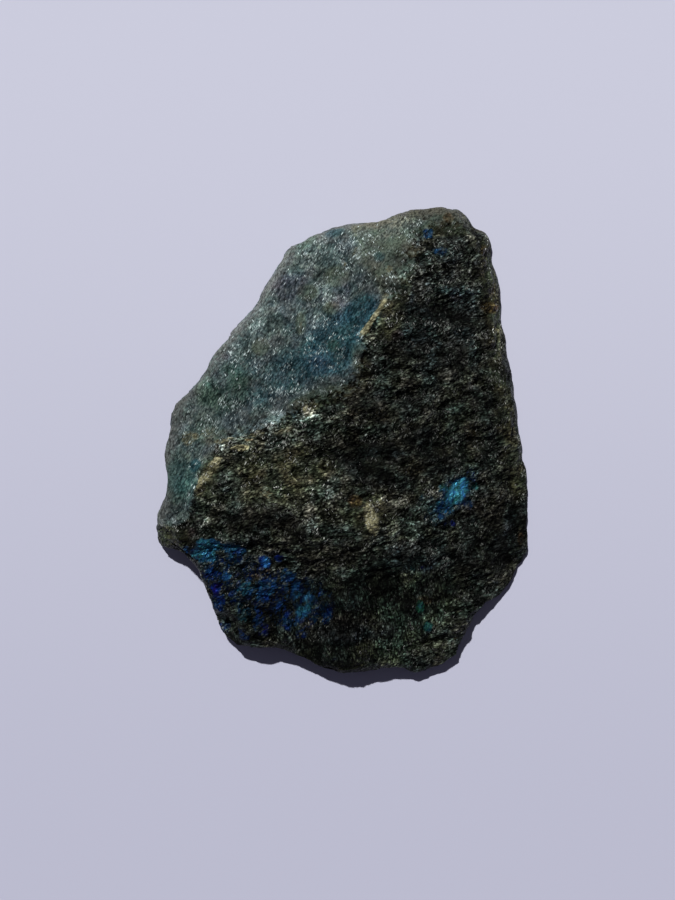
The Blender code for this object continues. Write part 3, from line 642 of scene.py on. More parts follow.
class Board:
    """A material's or a world's nodes, all added by one method."""

    def __init__(self, tree: bpy.types.NodeTree) -> None:
        """Keeps the node tree."""
        self.tree = tree

    def add(self, kind: str, settings: dict[str, object], feeds: dict[object, Feed]) -> Wire:
        """Adds a node.

        Args:
            kind: The node's type.
            settings: Its properties, set first; stops are a ramp's places and colours.
            feeds: The values or wires of its sockets, by name or number.

        Returns:
            The node's first output that is in use.
        """
        node = self.tree.nodes.new(kind)
        for name, setting in settings.items():
            if name == "stops":
                self._set_stops(node.color_ramp, setting)
            else:
                setattr(node, name, setting)
        self.feed(node, feeds)
        return Wire(self, next(socket for socket in node.outputs if socket.enabled))

    def feed(self, node: bpy.types.Node, feeds: dict[object, Feed]) -> None:
        """Links or sets sockets of a node.

        Args:
            node: The node.
            feeds: A wire, a number, or a colour or vector for each socket, by name or number.
        """
        for name, feed in feeds.items():
            socket = self._socket(node.inputs, name)
            if isinstance(feed, Wire):
                self.tree.links.new(feed.socket, socket)
            elif socket.type == "VALUE":
                socket.default_value = feed
            else:
                parts = tuple(feed) if isinstance(feed, Sequence) else (feed,) * 3
                socket.default_value = (parts + (1.0,))[:len(socket.default_value)]

    def _socket(self, sockets: bpy.types.NodeInputs, name: object) -> bpy.types.NodeSocket:
        """Finds a socket.

        Args:
            sockets: The sockets of a node.
            name: The name of one in use, or its number.

        Returns:
            The socket.
        """
        if isinstance(name, int):
            return sockets[name]
        return next(socket for socket in sockets if socket.enabled and socket.name == name)

    def _set_stops(self, ramp: bpy.types.ColorRamp, stops: Stops) -> None:
        """Gives a colour ramp its stops.

        Args:
            ramp: The ramp.
            stops: Each stop's place and colour, in order.
        """
        while len(ramp.elements) < len(stops):
            ramp.elements.new(1.0)
        for element, (place, colour) in zip(ramp.elements, stops):
            element.position = place
            element.color = (*colour, 1.0)

    def coordinate(self, name: str) -> Wire:
        """One of the texture coordinates, such as Object."""
        return self.add("ShaderNodeTexCoord", {}, {}).also(name)

    def mark(self, mark: Mark) -> Wire:
        """The value that the mesh carries for a mark."""
        return self.add("ShaderNodeAttribute", {"attribute_name": mark.value}, {}).also("Fac")

    def ramp(self, value: Wire, stops: Stops) -> Wire:
        """The colour of a value on a ramp."""
        return self.add("ShaderNodeValToRGB", {"stops": stops}, {0: value})

    def mix(self, share: Feed, first: Feed, second: Feed, kind: str = "RGBA") -> Wire:
        """Mixes two colours or vectors, or two plain values.

        Args:
            share: How much of the second is mixed in.
            first: The first.
            second: The second.
            kind: RGBA for colours and vectors, FLOAT for plain values.

        Returns:
            The mix.
        """
        feeds = {"Factor": share, "A": first, "B": second}
        return self.add("ShaderNodeMix", {"data_type": kind}, feeds)

    def turned(self, place: Wire, turn: float, size: Sequence[float] = (1.0, 1.0, 1.0)) -> Wire:
        """Lays a pattern's axes turned and scaled.

        Args:
            place: Where on the stone, in millimetres.
            turn: The turn of the pattern's X from +X, in degrees.
            size: The pattern's unit along each of its axes.

        Returns:
            The place along the pattern's axes, in its units.
        """
        feeds = {"Vector": place, "Rotation": (0.0, 0.0, math.radians(turn)), "Scale": size}
        return self.add("ShaderNodeMapping", {"vector_type": "TEXTURE"}, feeds)

    def clouds(self, place: Wire, size: float, detail: float = 2.0) -> Wire:
        """Fractal noise of about 0 to 1, in lumps of that size."""
        feeds = {"Vector": place, "Scale": 1 / size, "Detail": detail}
        return self.add("ShaderNodeTexNoise", {"noise_dimensions": "3D"}, feeds)

    def grains(self, place: Wire, size: float, stretch: float, turn: float, depth: float = 1.0) -> Wire:
        """Crystal grains: the distance from each one's heart, with its colour beside it.

        Args:
            place: Where on the stone, in millimetres.
            size: A grain's size across.
            stretch: How many times longer it is.
            turn: The turn of its length from +X, in degrees.
            depth: How many times deeper it is.

        Returns:
            The distance from the grain's heart in grains, with the node's other outputs beside it.
        """
        cells = self.turned(place, turn, (size * stretch, size, size * depth))
        return self.add("ShaderNodeTexVoronoi", {}, {"Vector": cells, "Scale": 1.0})


def new_material(name: str) -> tuple[bpy.types.Material, Board, bpy.types.Node]:
    """Makes a material to be filled.

    Args:
        name: The material's name.

    Returns:
        The material, the board for its nodes, and its shader.
    """
    material = bpy.data.materials.new(name)
    material.use_nodes = True
    return material, Board(material.node_tree), material.node_tree.nodes["Principled BSDF"]


@dataclass(frozen=True)
class Ground:
    """What every layer of the stone's finish reads: which stone lies where, and in what grains."""

    board: Board
    place: Wire  # where on the stone, in millimetres
    lie: Wire  # the same, turned about the stone's middle where the grain fans out
    lumps: Wire  # fine clouds, of about 0 to 1
    broad: Wire  # broad clouds
    paleness: Wire  # 0 in the dark stone, 1 in the pale face
    lot: Wire  # three random numbers for each grain
    middle: Wire  # the distance from the grain's heart, in grains
    bundle: Wire  # three random numbers for each bundle of dark grains

    def either(self, pair: Sequence[Feed], kind: str = "FLOAT") -> Wire:
        """The first of a pair in the dark stone, passing to the second in the pale face."""
        return self.board.mix(self.paleness, *pair, kind)


@dataclass(frozen=True)
class LabradoriteFinish:
    """The stone's finish: grains of dark and pale feldspar, what stains them, their painted highlights and
    flash.
    """

    slot: str = "labradorite"
    turns: Pair = (17.0, 60.0)  # the grain's turn from +X, in degrees
    cross_turn: float = 118.0  # the turn of the second set of flecks
    fan_turn: float = 94.0  # the dark grain's turn where it fans out

    # grains: their size, how many times longer they are, and how many times deeper
    grain_sizes: Pair = (0.29, 0.30)
    grain_stretches: Pair = (2.0, 2.2)
    bundle: Sizes = (1.3, 1.5)
    flake: Sizes = (0.42, 2.2)
    flake_bed: Sizes = (1.1, 1.6)
    fleck: Sizes = (0.18, 6.0, 5.0)
    cross_fleck: Sizes = (0.18, 4.6, 4.0)
    gap: Span = (0.42, 0.75)  # where a grain passes to the gap around it, in grains
    # how light the painted shade in the gaps between grains leaves the stone
    gap_painted_shade: float = 0.4

    # clouds: the size of their lumps, and their layers where these aren't the usual ones
    lump: Sizes = (0.95, 3.5)
    broad: Sizes = (3.4,)
    fan_cloud: Sizes = (2.0,)
    drift: Sizes = (4.6, 3.0)  # from cool to warm stone
    green: Sizes = (3.6, 3.0)
    knot: Sizes = (2.4, 1.5)  # of the flecks of painted highlight
    vein: Sizes = (0.45,)
    ripple: Sizes = (1.1, 2.5)
    wave: Sizes = (2.6, 1.0)  # of the ripples

    # edges: how far the clouds shift them, and where they blend
    pale_shift: float = 2.4
    pale_edge: Span = (-0.35, 0.35)
    fan_shift: float = 1.6
    fan_edge: Span = (0.48, 0.52)
    bevel_shift: float = 4.0
    bevel_edge: Span = (0.4, 3.6)
    drift_edge: Span = (0.38, 0.62)
    green_edge: Span = (0.4, 0.6)
    cream_edge: Span = (-0.2, 0.8)
    flash_edge: Span = (-0.05, 0.6)

    # how far each thing makes the stone lighter or darker
    grain_spread: Pair = (0.56, 0.4)
    bundle_spread: float = 0.2
    lump_spread: float = 0.45
    broad_spread: float = 0.5
    # painted light on the relief's crests and painted shade in its hollows
    crest_painted_light: Pair = (0.14, 0.03)
    olive_calm: float = 0.55  # how much less olive stone varies
    ripple_stretch: float = 1.8
    wave_reach: float = 2.6
    ripple_narrow: float = 8.0
    # painted light on the ripples' crests and painted shade between them
    ripple_painted_shade: Pair = (0.55, 0.9)
    ripple_painted_light: Pair = (1.1, 0.2)

    # stains: how strong a mark's middle is against the grains and clouds at its edge
    mark_reach: float = 1.7
    stain_lumps: float = 0.6
    cream_grains: float = 0.5
    cream_lumps: float = 0.7
    cream_veins: float = 0.9
    cream_share: float = 0.9
    bevel_share: float = 0.65

    # painted highlights: the share of thin grains that are painted bright, and how bright these are
    fleck_density: Pair = (0.06, 0.09)
    painted_highlight_density: Pair = (0.22, 0.28)
    broad_density: float = 0.7
    knot_density: float = 2.1
    cross_less: float = 0.06
    painted_highlight_strength: Pair = (0.4, 0.85)
    fleck_least: float = 0.15
    fleck_lit: Span = (0.0, 0.06)
    fleck_edge: Span = (0.2, 0.5)

    # flash: how it varies from flake to flake and from bed to bed
    flash_reach: float = 2.2
    flake_share: float = 0.5
    flake_hue: float = 0.16
    bed_hue: float = 0.22
    flake_light: tuple[float, float] = (0.24, 0.55)  # the least and the rest; so is the next
    bed_light: tuple[float, float] = (0.4, 0.9)
    flash_power: float = 1.7
    flash_metal: float = 0.3
    flash_rough: float = 0.36

    # the skin
    rough_least: float = 0.2
    rough_spread: float = 0.25
    rough_dark: float = 0.5  # how much rougher the stone is where its painted shade is deepest
    painted_shade_span: Span = (0.3, 2.4)
    grain_tilt: float = 0.75
    bundle_tilt: float = 0.25
    lump_height: float = 0.22
    grain_height: float = 0.05
    ripple_height: Pair = (0.12, 0.02)
    bump_strength: float = 0.8
    sheen: float = 0.05

    warmth: Pair = (1.0, 0.45)
    cool_tint: Colour = (0.88, 1.00, 1.06)
    warm_tint: Colour = (1.13, 1.00, 0.90)
    green_tint: Colour = (0.92, 1.04, 0.95)
    dark_stops: Stops = (
        (0.20, (0.0014, 0.0017, 0.0013)),
        (0.42, (0.0060, 0.0066, 0.0050)),
        (0.58, (0.0196, 0.0220, 0.0166)),
        (0.72, (0.0480, 0.0535, 0.0440)),
        (0.90, (0.1500, 0.1650, 0.1440)),
    )
    pale_stops: Stops = (
        (0.15, (0.0126, 0.0196, 0.0214)),
        (0.40, (0.0418, 0.0580, 0.0625)),
        (0.60, (0.0835, 0.1050, 0.1095)),
        (0.80, (0.1650, 0.1960, 0.1930)),
        (0.95, (0.3050, 0.3500, 0.3350)),
    )
    cream_stops: Stops = (
        (0.15, (0.0280, 0.0255, 0.0150)),
        (0.45, (0.1160, 0.1080, 0.0590)),
        (0.75, (0.2700, 0.2560, 0.1580)),
        (0.95, (0.5200, 0.4950, 0.3500)),
    )
    flash_stops: Stops = (
        (0.00, (0.050, 0.012, 0.180)),
        (0.20, (0.010, 0.016, 0.300)),
        (0.42, (0.015, 0.078, 0.395)),
        (0.60, (0.042, 0.198, 0.445)),
        (0.76, (0.074, 0.365, 0.490)),
        (0.88, (0.060, 0.260, 0.230)),
        (1.00, (0.040, 0.200, 0.110)),
    )
    stains: tuple[tuple[Mark, Colour], ...] = (
        (Mark.TEAL, (0.40, 0.76, 0.94)),
        (Mark.GREEN, (0.84, 1.03, 0.88)),
        (Mark.PLUM, (1.05, 0.85, 1.02)),
        (Mark.SLATE, (0.86, 0.97, 1.20)),
        (Mark.RUST, (1.60, 0.95, 0.60)),
        (Mark.OLIVE, (1.20, 1.09, 0.88)),
        (Mark.FLASH, (0.75, 0.96, 1.30)),
    )
    # the colours of the painted highlights, in the dark stone and in the pale face
    painted_highlight_colours: tuple[Colour, Colour] = ((0.72, 0.74, 0.68), (0.64, 0.75, 0.73))
    bevel_colour: Colour = (0.130, 0.132, 0.122)

    def material(self) -> bpy.types.Material:
        """Builds the material.

        Returns:
            The material, ready for the stone's slot.
        """
        material, board, shader = new_material(self.slot)
        ground = self.ground(board)
        along = self.along_ripples(ground)
        ripple = (1.0 - abs(board.clouds(along, *self.ripple) - 0.5) * self.ripple_narrow).clamp()
        rim = board.mark(Mark.RIM) + (ground.lumps - 0.5) * self.bevel_shift
        bevel = ground.paleness * (1.0 - rim.step(*self.bevel_edge))
        value = self.lightness(ground)
        stone = self.bare_stone(ground, value, ripple)
        stone = board.mix(bevel * self.bevel_share, stone, self.bevel_colour)
        stone = self.stained(ground, stone, value, along)
        # painted shade in the gaps between grains
        stone = stone * board.mix(1.0 - ground.middle.step(*self.gap), self.gap_painted_shade, 1.0, "FLOAT")
        stone = self.paint_highlights(ground, stone, bevel)
        # painted light and shade, with some tone: each step of the mark doubles or halves the stone's
        # brightness
        light = board.mark(Mark.PAINTED_LIGHT_AND_TONE)
        stone = stone * 2.0**light
        share, flash = self.flash(ground)
        rough = self.rough_least + ground.lot.split().also("Z") * self.rough_spread
        rough = rough + (0.0 - light).step(*self.painted_shade_span) * self.rough_dark
        board.feed(shader, {
            "Base Color": board.mix(share, stone, flash),
            "Metallic": share * self.flash_metal,
            "Roughness": board.mix(share, rough, self.flash_rough, "FLOAT"),
            "Specular IOR Level": self.sheen,
            "Normal": self.bump(ground, ripple),
        })
        return material

    def ground(self, board: Board) -> Ground:
        """Lays out the two stones and their grains.

        Args:
            board: The material's board.

        Returns:
            What the layers of the finish read.
        """
        place = board.coordinate("Object") * (1 / MM)
        fan = board.mark(Mark.FAN) + (board.clouds(place + FAN_AT, *self.fan_cloud) - 0.5) * self.fan_shift
        lie = board.mix(fan.step(*self.fan_edge), place, board.turned(place, self.fan_turn - self.turns[0]))
        dark, pale = (
            board.grains(where, size, stretch, turn)
            for where, size, stretch, turn in zip(
                (lie, place), self.grain_sizes, self.grain_stretches, self.turns
            )
        )
        lumps = board.clouds(place, *self.lump)
        paleness = (board.mark(Mark.PALE) + (lumps - 0.5) * self.pale_shift).step(*self.pale_edge)
        return Ground(
            board=board,
            place=place,
            lie=lie,
            lumps=lumps,
            broad=board.clouds(place, *self.broad),
            paleness=paleness,
            lot=board.mix(paleness, dark.also("Color"), pale.also("Color")),
            middle=board.mix(paleness, dark, pale, "FLOAT"),
            bundle=board.grains(lie, *self.bundle, self.turns[0]).also("Color"),
        )

    def along_ripples(self, ground: Ground) -> Wire:
        """Lays out the ripples' wavy axes.

        Args:
            ground: What the finish reads.

        Returns:
            The place along and across the ripples.
        """
        wave = ground.board.clouds(ground.place + WAVE_AT, *self.wave).also("Color")
        wave = (wave - 0.5) * self.wave_reach
        return ground.board.turned(ground.lie + wave, self.turns[0], (self.ripple_stretch, 1.0, 1.0))

    def lightness(self, ground: Ground) -> Wire:
        """Works out how light each grain is.

        Args:
            ground: What the finish reads.

        Returns:
            The place on the stones' ramps, about 0 to 1.
        """
        value = (ground.lot.split() - 0.5) * ground.either(self.grain_spread)
        value = value + (ground.bundle.split() - 0.5) * self.bundle_spread
        value = value + (ground.lumps - 0.5) * self.lump_spread + (ground.broad - 0.5) * self.broad_spread
        # painted light and shade: crests lighter, hollows darker
        value = value + ground.board.mark(Mark.CREST) * ground.either(self.crest_painted_light)
        return value * (1.0 - ground.board.mark(Mark.OLIVE) * self.olive_calm) + 0.5

    def bare_stone(self, ground: Ground, value: Wire, ripple: Wire) -> Wire:
        """Colours the two stones.

        Args:
            ground: What the finish reads.
            value: How light each grain is.
            ripple: 1 on a ripple, 0 beside it.

        Returns:
            The colour of the stone with nothing in it but the ripples' painted light and shade.
        """
        board, place = ground.board, ground.place
        ramps = [board.ramp(value, stops) for stops in (self.dark_stops, self.pale_stops)]
        stone = ground.either(ramps, "RGBA")
        drift = board.clouds(place + DRIFT_AT, *self.drift).step(*self.drift_edge)
        warmth = 0.5 + (drift - 0.5) * ground.either(self.warmth)
        greenness = board.clouds(place + GREEN_AT, *self.green).step(*self.green_edge)
        stone = stone * board.mix(warmth, self.cool_tint, self.warm_tint)
        stone = stone * board.mix(greenness, (1.0, 1.0, 1.0), self.green_tint)
        # painted light on the ripples and painted shade between them
        ripple_light_and_shade = [floor + ripple * gain for floor, gain in zip(self.ripple_painted_shade, self.ripple_painted_light)]
        return stone * ground.either(ripple_light_and_shade)

    def stained(self, ground: Ground, stone: Wire, value: Wire, along: Wire) -> Wire:
        """Stains the stone and lays the cream patches in it.

        Args:
            ground: What the finish reads.
            stone: The stone's colour so far.
            value: How light each grain is.
            along: The place along the ripples, which the cream's veins follow too.

        Returns:
            The stained colour.
        """
        board = ground.board
        for mark, tint in self.stains:
            share = (board.mark(mark) * self.mark_reach - ground.lumps * self.stain_lumps).clamp()
            stone = board.mix(share, stone, stone * tint)
        cream = board.mark(Mark.CREAM) * self.mark_reach - ground.lot.split().also("Y") * self.cream_grains
        cream = cream - ground.lumps * self.cream_lumps
        cream = cream - board.clouds(along + VEINS_AT, *self.vein) * self.cream_veins
        cream = cream.step(*self.cream_edge) * self.cream_share
        return board.mix(cream, stone, board.ramp(value, self.cream_stops))

    def paint_highlights(self, ground: Ground, stone: Wire, bevel: Wire) -> Wire:
        """Strews painted highlights, bright flecks, over the stone, in two sets that cross.

        Args:
            ground: What the finish reads.
            stone: The stone's colour so far.
            bevel: The share of the worn bevel, which has none.

        Returns:
            The colour with the painted highlights.
        """
        board, place = ground.board, ground.place
        knots = board.clouds(place + KNOTS_AT, *self.knot)
        density = ground.either(self.fleck_density) + (ground.broad - 0.5) * self.broad_density
        density = density + (knots - 0.5) * self.knot_density
        density = density + board.mark(Mark.PAINTED_HIGHLIGHTS) * ground.either(self.painted_highlight_density)
        density = density * (1.0 - bevel)
        first = self.flecks(place, self.fleck, self.turns[1], density)
        density = density - self.cross_less
        second = self.flecks(place + CROSS_AT, self.cross_fleck, self.cross_turn, density)
        painted_highlight = first.larger(second) * ground.either(self.painted_highlight_strength)
        return board.mix(painted_highlight, stone, ground.either(self.painted_highlight_colours, "RGBA"))

    def flecks(self, place: Wire, sizes: Sizes, turn: float, density: Wire) -> Wire:
        """Picks bright flecks of painted highlight out of thin grains.

        Args:
            place: Where on the stone, in millimetres.
            sizes: The grains' size, stretch and depth.
            turn: The turn of their length from +X, in degrees.
            density: The share of them that are bright.

        Returns:
            How bright the stone is there, 0 between the flecks.
        """
        size, stretch, depth = sizes
        grains = place.board.grains(place, size, stretch, turn, depth)
        lot = grains.also("Color").split()
        bright = (density - lot).step(*self.fleck_lit) * (self.fleck_least + lot.also("Y") ** 2.0)
        return bright * (1.0 - grains.step(*self.fleck_edge))

    def flash(self, ground: Ground) -> tuple[Wire, Wire]:
        """Works out the flash, flake by flake.

        Args:
            ground: What the finish reads.

        Returns:
            How much of the stone flashes there, and its colour.
        """
        board, place, mark = ground.board, ground.place, ground.board.mark(Mark.FLASH)
        flake = board.grains(place, *self.flake, self.turns[1]).also("Color").split()
        bed = board.grains(place + BED_AT, *self.flake_bed, self.turns[1]).also("Color").split()
        share = mark * self.flash_reach - flake * self.flake_share - bed * self.flake_share
        share = (share - ground.lumps * self.stain_lumps).step(*self.flash_edge)
        hue = board.mark(Mark.HUE) + (flake.also("Y") - 0.5) * self.flake_hue
        hue = hue + (bed.also("Y") - 0.5) * self.bed_hue
        lights = [
            least + lot.also("Z") * rest
            for lot, (least, rest) in ((flake, self.flake_light), (bed, self.bed_light))
        ]
        bright = lights[0] * lights[1] * mark**self.flash_power
        return share, board.ramp(hue, self.flash_stops) * bright

    def bump(self, ground: Ground, ripple: Wire) -> Wire:
        """Tips each grain its own way and raises the lumps and ripples.

        Args:
            ground: What the finish reads.
            ripple: 1 on a ripple, 0 beside it.

        Returns:
            The way that the skin faces.
        """
        board = ground.board
        tilt = (ground.lot - 0.5) * self.grain_tilt + (ground.bundle - 0.5) * self.bundle_tilt
        normal = (board.add("ShaderNodeNewGeometry", {}, {}).also("Normal") + tilt).unit()
        height = ground.lumps * self.lump_height - ground.middle * ground.middle * self.grain_height
        height = height + ripple * ground.either(self.ripple_height)
        feeds = {"Height": height, "Distance": MM, "Strength": self.bump_strength, "Normal": normal}
        return board.add("ShaderNodeBump", {}, feeds)


def placed(name: str, data: bpy.types.ID) -> bpy.types.Object:
    """Puts a new object into the scene.

    Args:
        name: The object's name.
        data: Its mesh, light or camera.

    Returns:
        The object.
    """
    thing = bpy.data.objects.new(name, data)
    bpy.context.scene.collection.objects.link(thing)
    return thing


@dataclass
class RoughStone:
    """The chunk itself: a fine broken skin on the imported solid's form."""

    name: str = "labradorite_chunk_skin"
    node: str = "labradorite_chunk"
    body: str = "root"
    weld: float = 0.001
    voxel: float = 0.43
    resting_band: float = 0.25
    resting_normal: float = -0.9
    outline_step: float = 0.5  # degrees of bearing between the corners of the outline
    dark_relief: tuple[Relief, ...] = (
        Hackle(2.6, 1.5, 17.0, 61.0, tip=0.11, step=0.06),
        Hackle(1.3, 1.3, 30.0, 67.0, tip=0.11, step=0.05),
        Ridges(2.3, 1.4, 22.0, 71.0, height=0.15),
    )
    pale_relief: tuple[Relief, ...] = (
        Hackle(2.2, 2.4, 60.0, 73.0, tip=0.06, step=0.05),
        Hackle(1.1, 1.8, 60.0, 79.0, tip=0.07, step=0.03),
        Lumps(1.2, 1.6, 60.0, 83.0, height=0.06),
    )
    fan_relief: tuple[Relief, ...] = (
        Hackle(1.5, 1.8, 94.0, 101.0, tip=0.10, step=0.04),
        Lumps(1.6, 1.8, 94.0, 103.0, height=0.10),
    )
    wall_relief: tuple[Ledges, ...] = (Ledges(0.6, 2.4, 8.0, 31.0), Ledges(0.25, 1.1, 3.0, 37.0))
    edge_waver: Relief = Lumps(2.6, 1.3, 17.0, 91.0, height=0.5)
    edge_blend: Span = (-0.5, 0.5)
    upper_side: Span = (-0.3, 0.3)  # how far up the skin faces there; so are the next four
    flash_side: Span = (-0.1, 0.4)
    rim_wall: Span = (0.1, 0.5)
    level_skin: Span = (0.2, 0.7)
    steep_skin: Span = (0.3, 0.65)
    wall_foot: Span = (0.5, 3.5)
    rim_band: Span = (0.3, 2.0)
    least_flash: float = 0.3  # the share of it that is left on walls; so are the next two
    least_crest: float = 0.15
    least_hollow: float = 0.4
    least_at_rim: float = 0.3
    wall_fade: float = 6.0  # how far the rim's marks fall off down the walls
    deepest: float = 3.4  # the most that overlapping darker patches of painted shade and tone come to, in halvings
    crest_height: float = 0.3
    pale_dip: float = 0.9  # the pale stone's edge leans this far for each millimetre down
    pale_dip_from: float = 0.75  # starting at this share of the stone's height
    finish: LabradoriteFinish = LabradoriteFinish()

    def build(self) -> bpy.types.Object:
        """Makes the skin, marks what grows in it and the light, shade and highlights painted on it, breaks
        it up and dresses it.

        Returns:
            The finished stone.
        """
        stone = self.copy_solid()
        self.regrain(stone)
        self.nudge(stone)
        self.mark(stone)
        self.roughen(stone)
        stone.data.materials.clear()
        stone.data.materials.append(self.finish.material())
        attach(stone, self.body)
        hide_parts(self.node)
        return stone

    def copy_solid(self) -> bpy.types.Object:
        """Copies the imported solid's mesh, with its corners merged.

        Returns:
            A new object with that mesh.
        """
        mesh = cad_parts[self.node].data.copy()
        work = bmesh.new()
        work.from_mesh(mesh)
        bmesh.ops.remove_doubles(work, verts=work.verts, dist=self.weld * MM)
        bmesh.ops.recalc_face_normals(work, faces=work.faces)
        work.to_mesh(mesh)
        work.free()
        return placed(self.name, mesh)

    def regrain(self, stone: bpy.types.Object) -> None:
        """Remeshes the stone evenly, fine enough to carry its relief.

        Args:
            stone: The object, whose mesh is replaced.
        """
        remesh = stone.modifiers.new("grain", "REMESH")
        remesh.mode = "VOXEL"
        remesh.voxel_size = self.voxel * MM
        graph = bpy.context.evaluated_depsgraph_get()
        shown = bpy.data.meshes.new_from_object(stone.evaluated_get(graph))
        stone.modifiers.clear()
        stone.data = shown

    def places(self, stone: bpy.types.Object) -> np.ndarray:
        """Reads where the stone's vertices are.

        Args:
            stone: The object.

        Returns:
            One x, y, z triple a row, in millimetres.
        """
        flat = np.empty(len(stone.data.vertices) * 3, np.float32)
        stone.data.vertices.foreach_get("co", flat)
        return flat.reshape(-1, 3).astype(float) / MM

    def move(self, stone: bpy.types.Object, places: np.ndarray) -> None:
        """Puts the stone's vertices at places in millimetres."""
        stone.data.vertices.foreach_set("co", (places * MM).astype(np.float32).ravel())
        stone.data.update()

    def normals(self, stone: bpy.types.Object) -> np.ndarray:
        """Which way the stone's skin faces at each vertex, one row each."""
        return np.array([vertex.normal[:] for vertex in stone.data.vertices])

    def lay(self, stone: bpy.types.Object, mark: Mark, values: np.ndarray) -> None:
        """Writes a mark's value at each of the stone's vertices."""
        layer = stone.data.attributes.new(mark.value, "FLOAT", "POINT")
        layer.data.foreach_set("value", values.astype(np.float32))

    def marked(self, stone: bpy.types.Object, mark: Mark) -> np.ndarray:
        """Reads one of the marks back.

        Args:
            stone: The object that carries it.
            mark: The mark.

        Returns:
            Its value at each vertex.
        """
        values = np.empty(len(stone.data.vertices), np.float32)
        stone.data.attributes[mark.value].data.foreach_get("value", values)
        return values

    def nudge(self, stone: bpy.types.Object) -> None:
        """Shifts parts of the outline a little, the thin right edge above all.

        Args:
            stone: The object, whose vertices move.
        """
        places = self.places(stone)
        shares = [nudge.share(places[:, :2]) for nudge in NUDGES]
        for nudge, share in zip(NUDGES, shares):
            places[:, 0] += nudge.over * share
            places[:, 1] += nudge.up * share
            places[:, 2] *= 1 + nudge.swell * share
        self.move(stone, places)

    def rim_distance(self, places: np.ndarray) -> np.ndarray:
        """Measures how far each vertex lies inside the stone's outline, seen from above.

        Args:
            places: The vertices' places.

        Returns:
            The distance to the nearest corner of the outline, the vertex farthest out in its bearing.
        """
        bearings = np.degrees(np.arctan2(places[:, 1], places[:, 0])) % 360 / self.outline_step
        sectors = bearings.astype(int)
        reach = np.hypot(places[:, 0], places[:, 1])
        order = np.lexsort((reach, sectors))
        last = np.append(sectors[order][1:] != sectors[order][:-1], True)
        corners = places[order[last]]
        tree = kdtree.KDTree(len(corners))
        for index, corner in enumerate(corners):
            tree.insert((corner[0], corner[1], 0.0), index)
        tree.balance()
        return np.array([tree.find((x, y, 0.0))[2] for x, y, _ in places])

    def mark(self, stone: bpy.types.Object) -> None:
        """Marks the pale face, the rim, the stains, the painted light, shade and highlights, and the flashes
        as mesh attributes.

        Args:
            stone: The object that carries them.
        """
        places, normals = self.places(stone), self.normals(stone)
        upper = smooth_step(normals[:, 2], *self.upper_side)[:, None]
        sunk = places.copy()
        sunk[:, 0] += self.pale_dip * (places[:, 2].max() * self.pale_dip_from - places[:, 2])
        points = sunk[:, :2] * (1 - upper) + places[:, :2] * upper
        edge = inside_distance(points, PALE_CORNERS) + self.edge_waver.heights(places)
        wall = 1 - smooth_step(normals[:, 2], *self.rim_wall)
        self.lay(stone, Mark.PALE, edge / (1 + added(points, EDGE_BLURS)))
        self.lay(stone, Mark.RIM, self.rim_distance(places) + self.wall_fade * wall)
        for mark, patches in PATCHES.items():
            values = added(points, patches)
            # darker ovals, painted shade and tone, add up softly towards the deepest
            if mark is Mark.PAINTED_LIGHT_AND_TONE:
                dimmed = 1 - np.exp(np.minimum(values, 0) / self.deepest)
                values = np.maximum(values, 0) - self.deepest * dimmed
            self.lay(stone, mark, values)
        facing = at_least(self.least_flash, smooth_step(normals[:, 2], *self.flash_side))
        shares = [flash.strength * flash.share(points) * facing for flash in FLASHES]
        weight = np.sum(np.square(shares), axis=0)
        hues = sum(flash.hue * share**2 for flash, share in zip(FLASHES, shares))
        self.lay(stone, Mark.FLASH, np.max(shares, axis=0))
        self.lay(stone, Mark.HUE, hues / np.maximum(weight, LEAST_WEIGHT))

    def roughen(self, stone: bpy.types.Object) -> None:
        """Breaks the skin up along the cleavage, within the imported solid's box.

        Args:
            stone: The object, whose vertices move.
        """
        places, normals = self.places(stone), self.normals(stone)
        upright = np.abs(normals[:, 2])
        paleness = smooth_step(self.marked(stone, Mark.PALE), *self.edge_blend)
        fanned = np.clip(self.marked(stone, Mark.FAN), 0, 1)
        dark = self.relief(places, self.dark_relief)
        dark += (self.relief(places, self.fan_relief) - dark) * fanned
        lift = dark + (self.relief(places, self.pale_relief) - dark) * paleness
        self.lay(stone, Mark.CREST, np.clip(lift / self.crest_height, -1, 1))
        least = np.where(lift > 0, self.least_crest, self.least_hollow)
        lift *= at_least(least, smooth_step(upright, *self.level_skin))
        lift *= at_least(self.least_at_rim, smooth_step(self.rim_distance(places), *self.rim_band))
        wall = (1 - smooth_step(upright, *self.steep_skin)) * smooth_step(places[:, 2], *self.wall_foot)
        lift += wall * self.relief(places, self.wall_relief)
        places += normals * lift[:, None]
        low, high = (np.array(corner) / MM for corner in SOLID_BOX)
        resting = (places[:, 2] < self.resting_band) & (normals[:, 2] < self.resting_normal)
        places[resting, 2] = low[2]
        self.move(stone, np.clip(places, low, high))

    def relief(self, places: np.ndarray, layers: Sequence[Union[Relief, Ledges]]) -> np.ndarray:
        """How far layers of relief together lift each of the vertices."""
        return sum(layer.heights(places) for layer in layers)


@dataclass(frozen=True)
class FloorFinish:
    """Matt pale paper, with painted light that makes it a little lighter towards the far side."""

    near: Colour = (0.491, 0.494, 0.602)
    far: Colour = (0.590, 0.596, 0.700)
    gradient_reach: float = 0.1  # metres to either side of the stone's middle
    roughness: float = 0.9
    sheen: float = 0.1

    def material(self) -> bpy.types.Material:
        """Builds the material.

        Returns:
            The floor's material.
        """
        material, board, shader = new_material("pale_floor")
        # painted light: the floor lighter towards the far side
        share = board.coordinate("Object").split().also("Y").step(-self.gradient_reach, self.gradient_reach)
        board.feed(shader, {
            "Base Color": board.mix(share, self.near, self.far),
            "Roughness": self.roughness,
            "Specular IOR Level": self.sheen,
        })
        return material


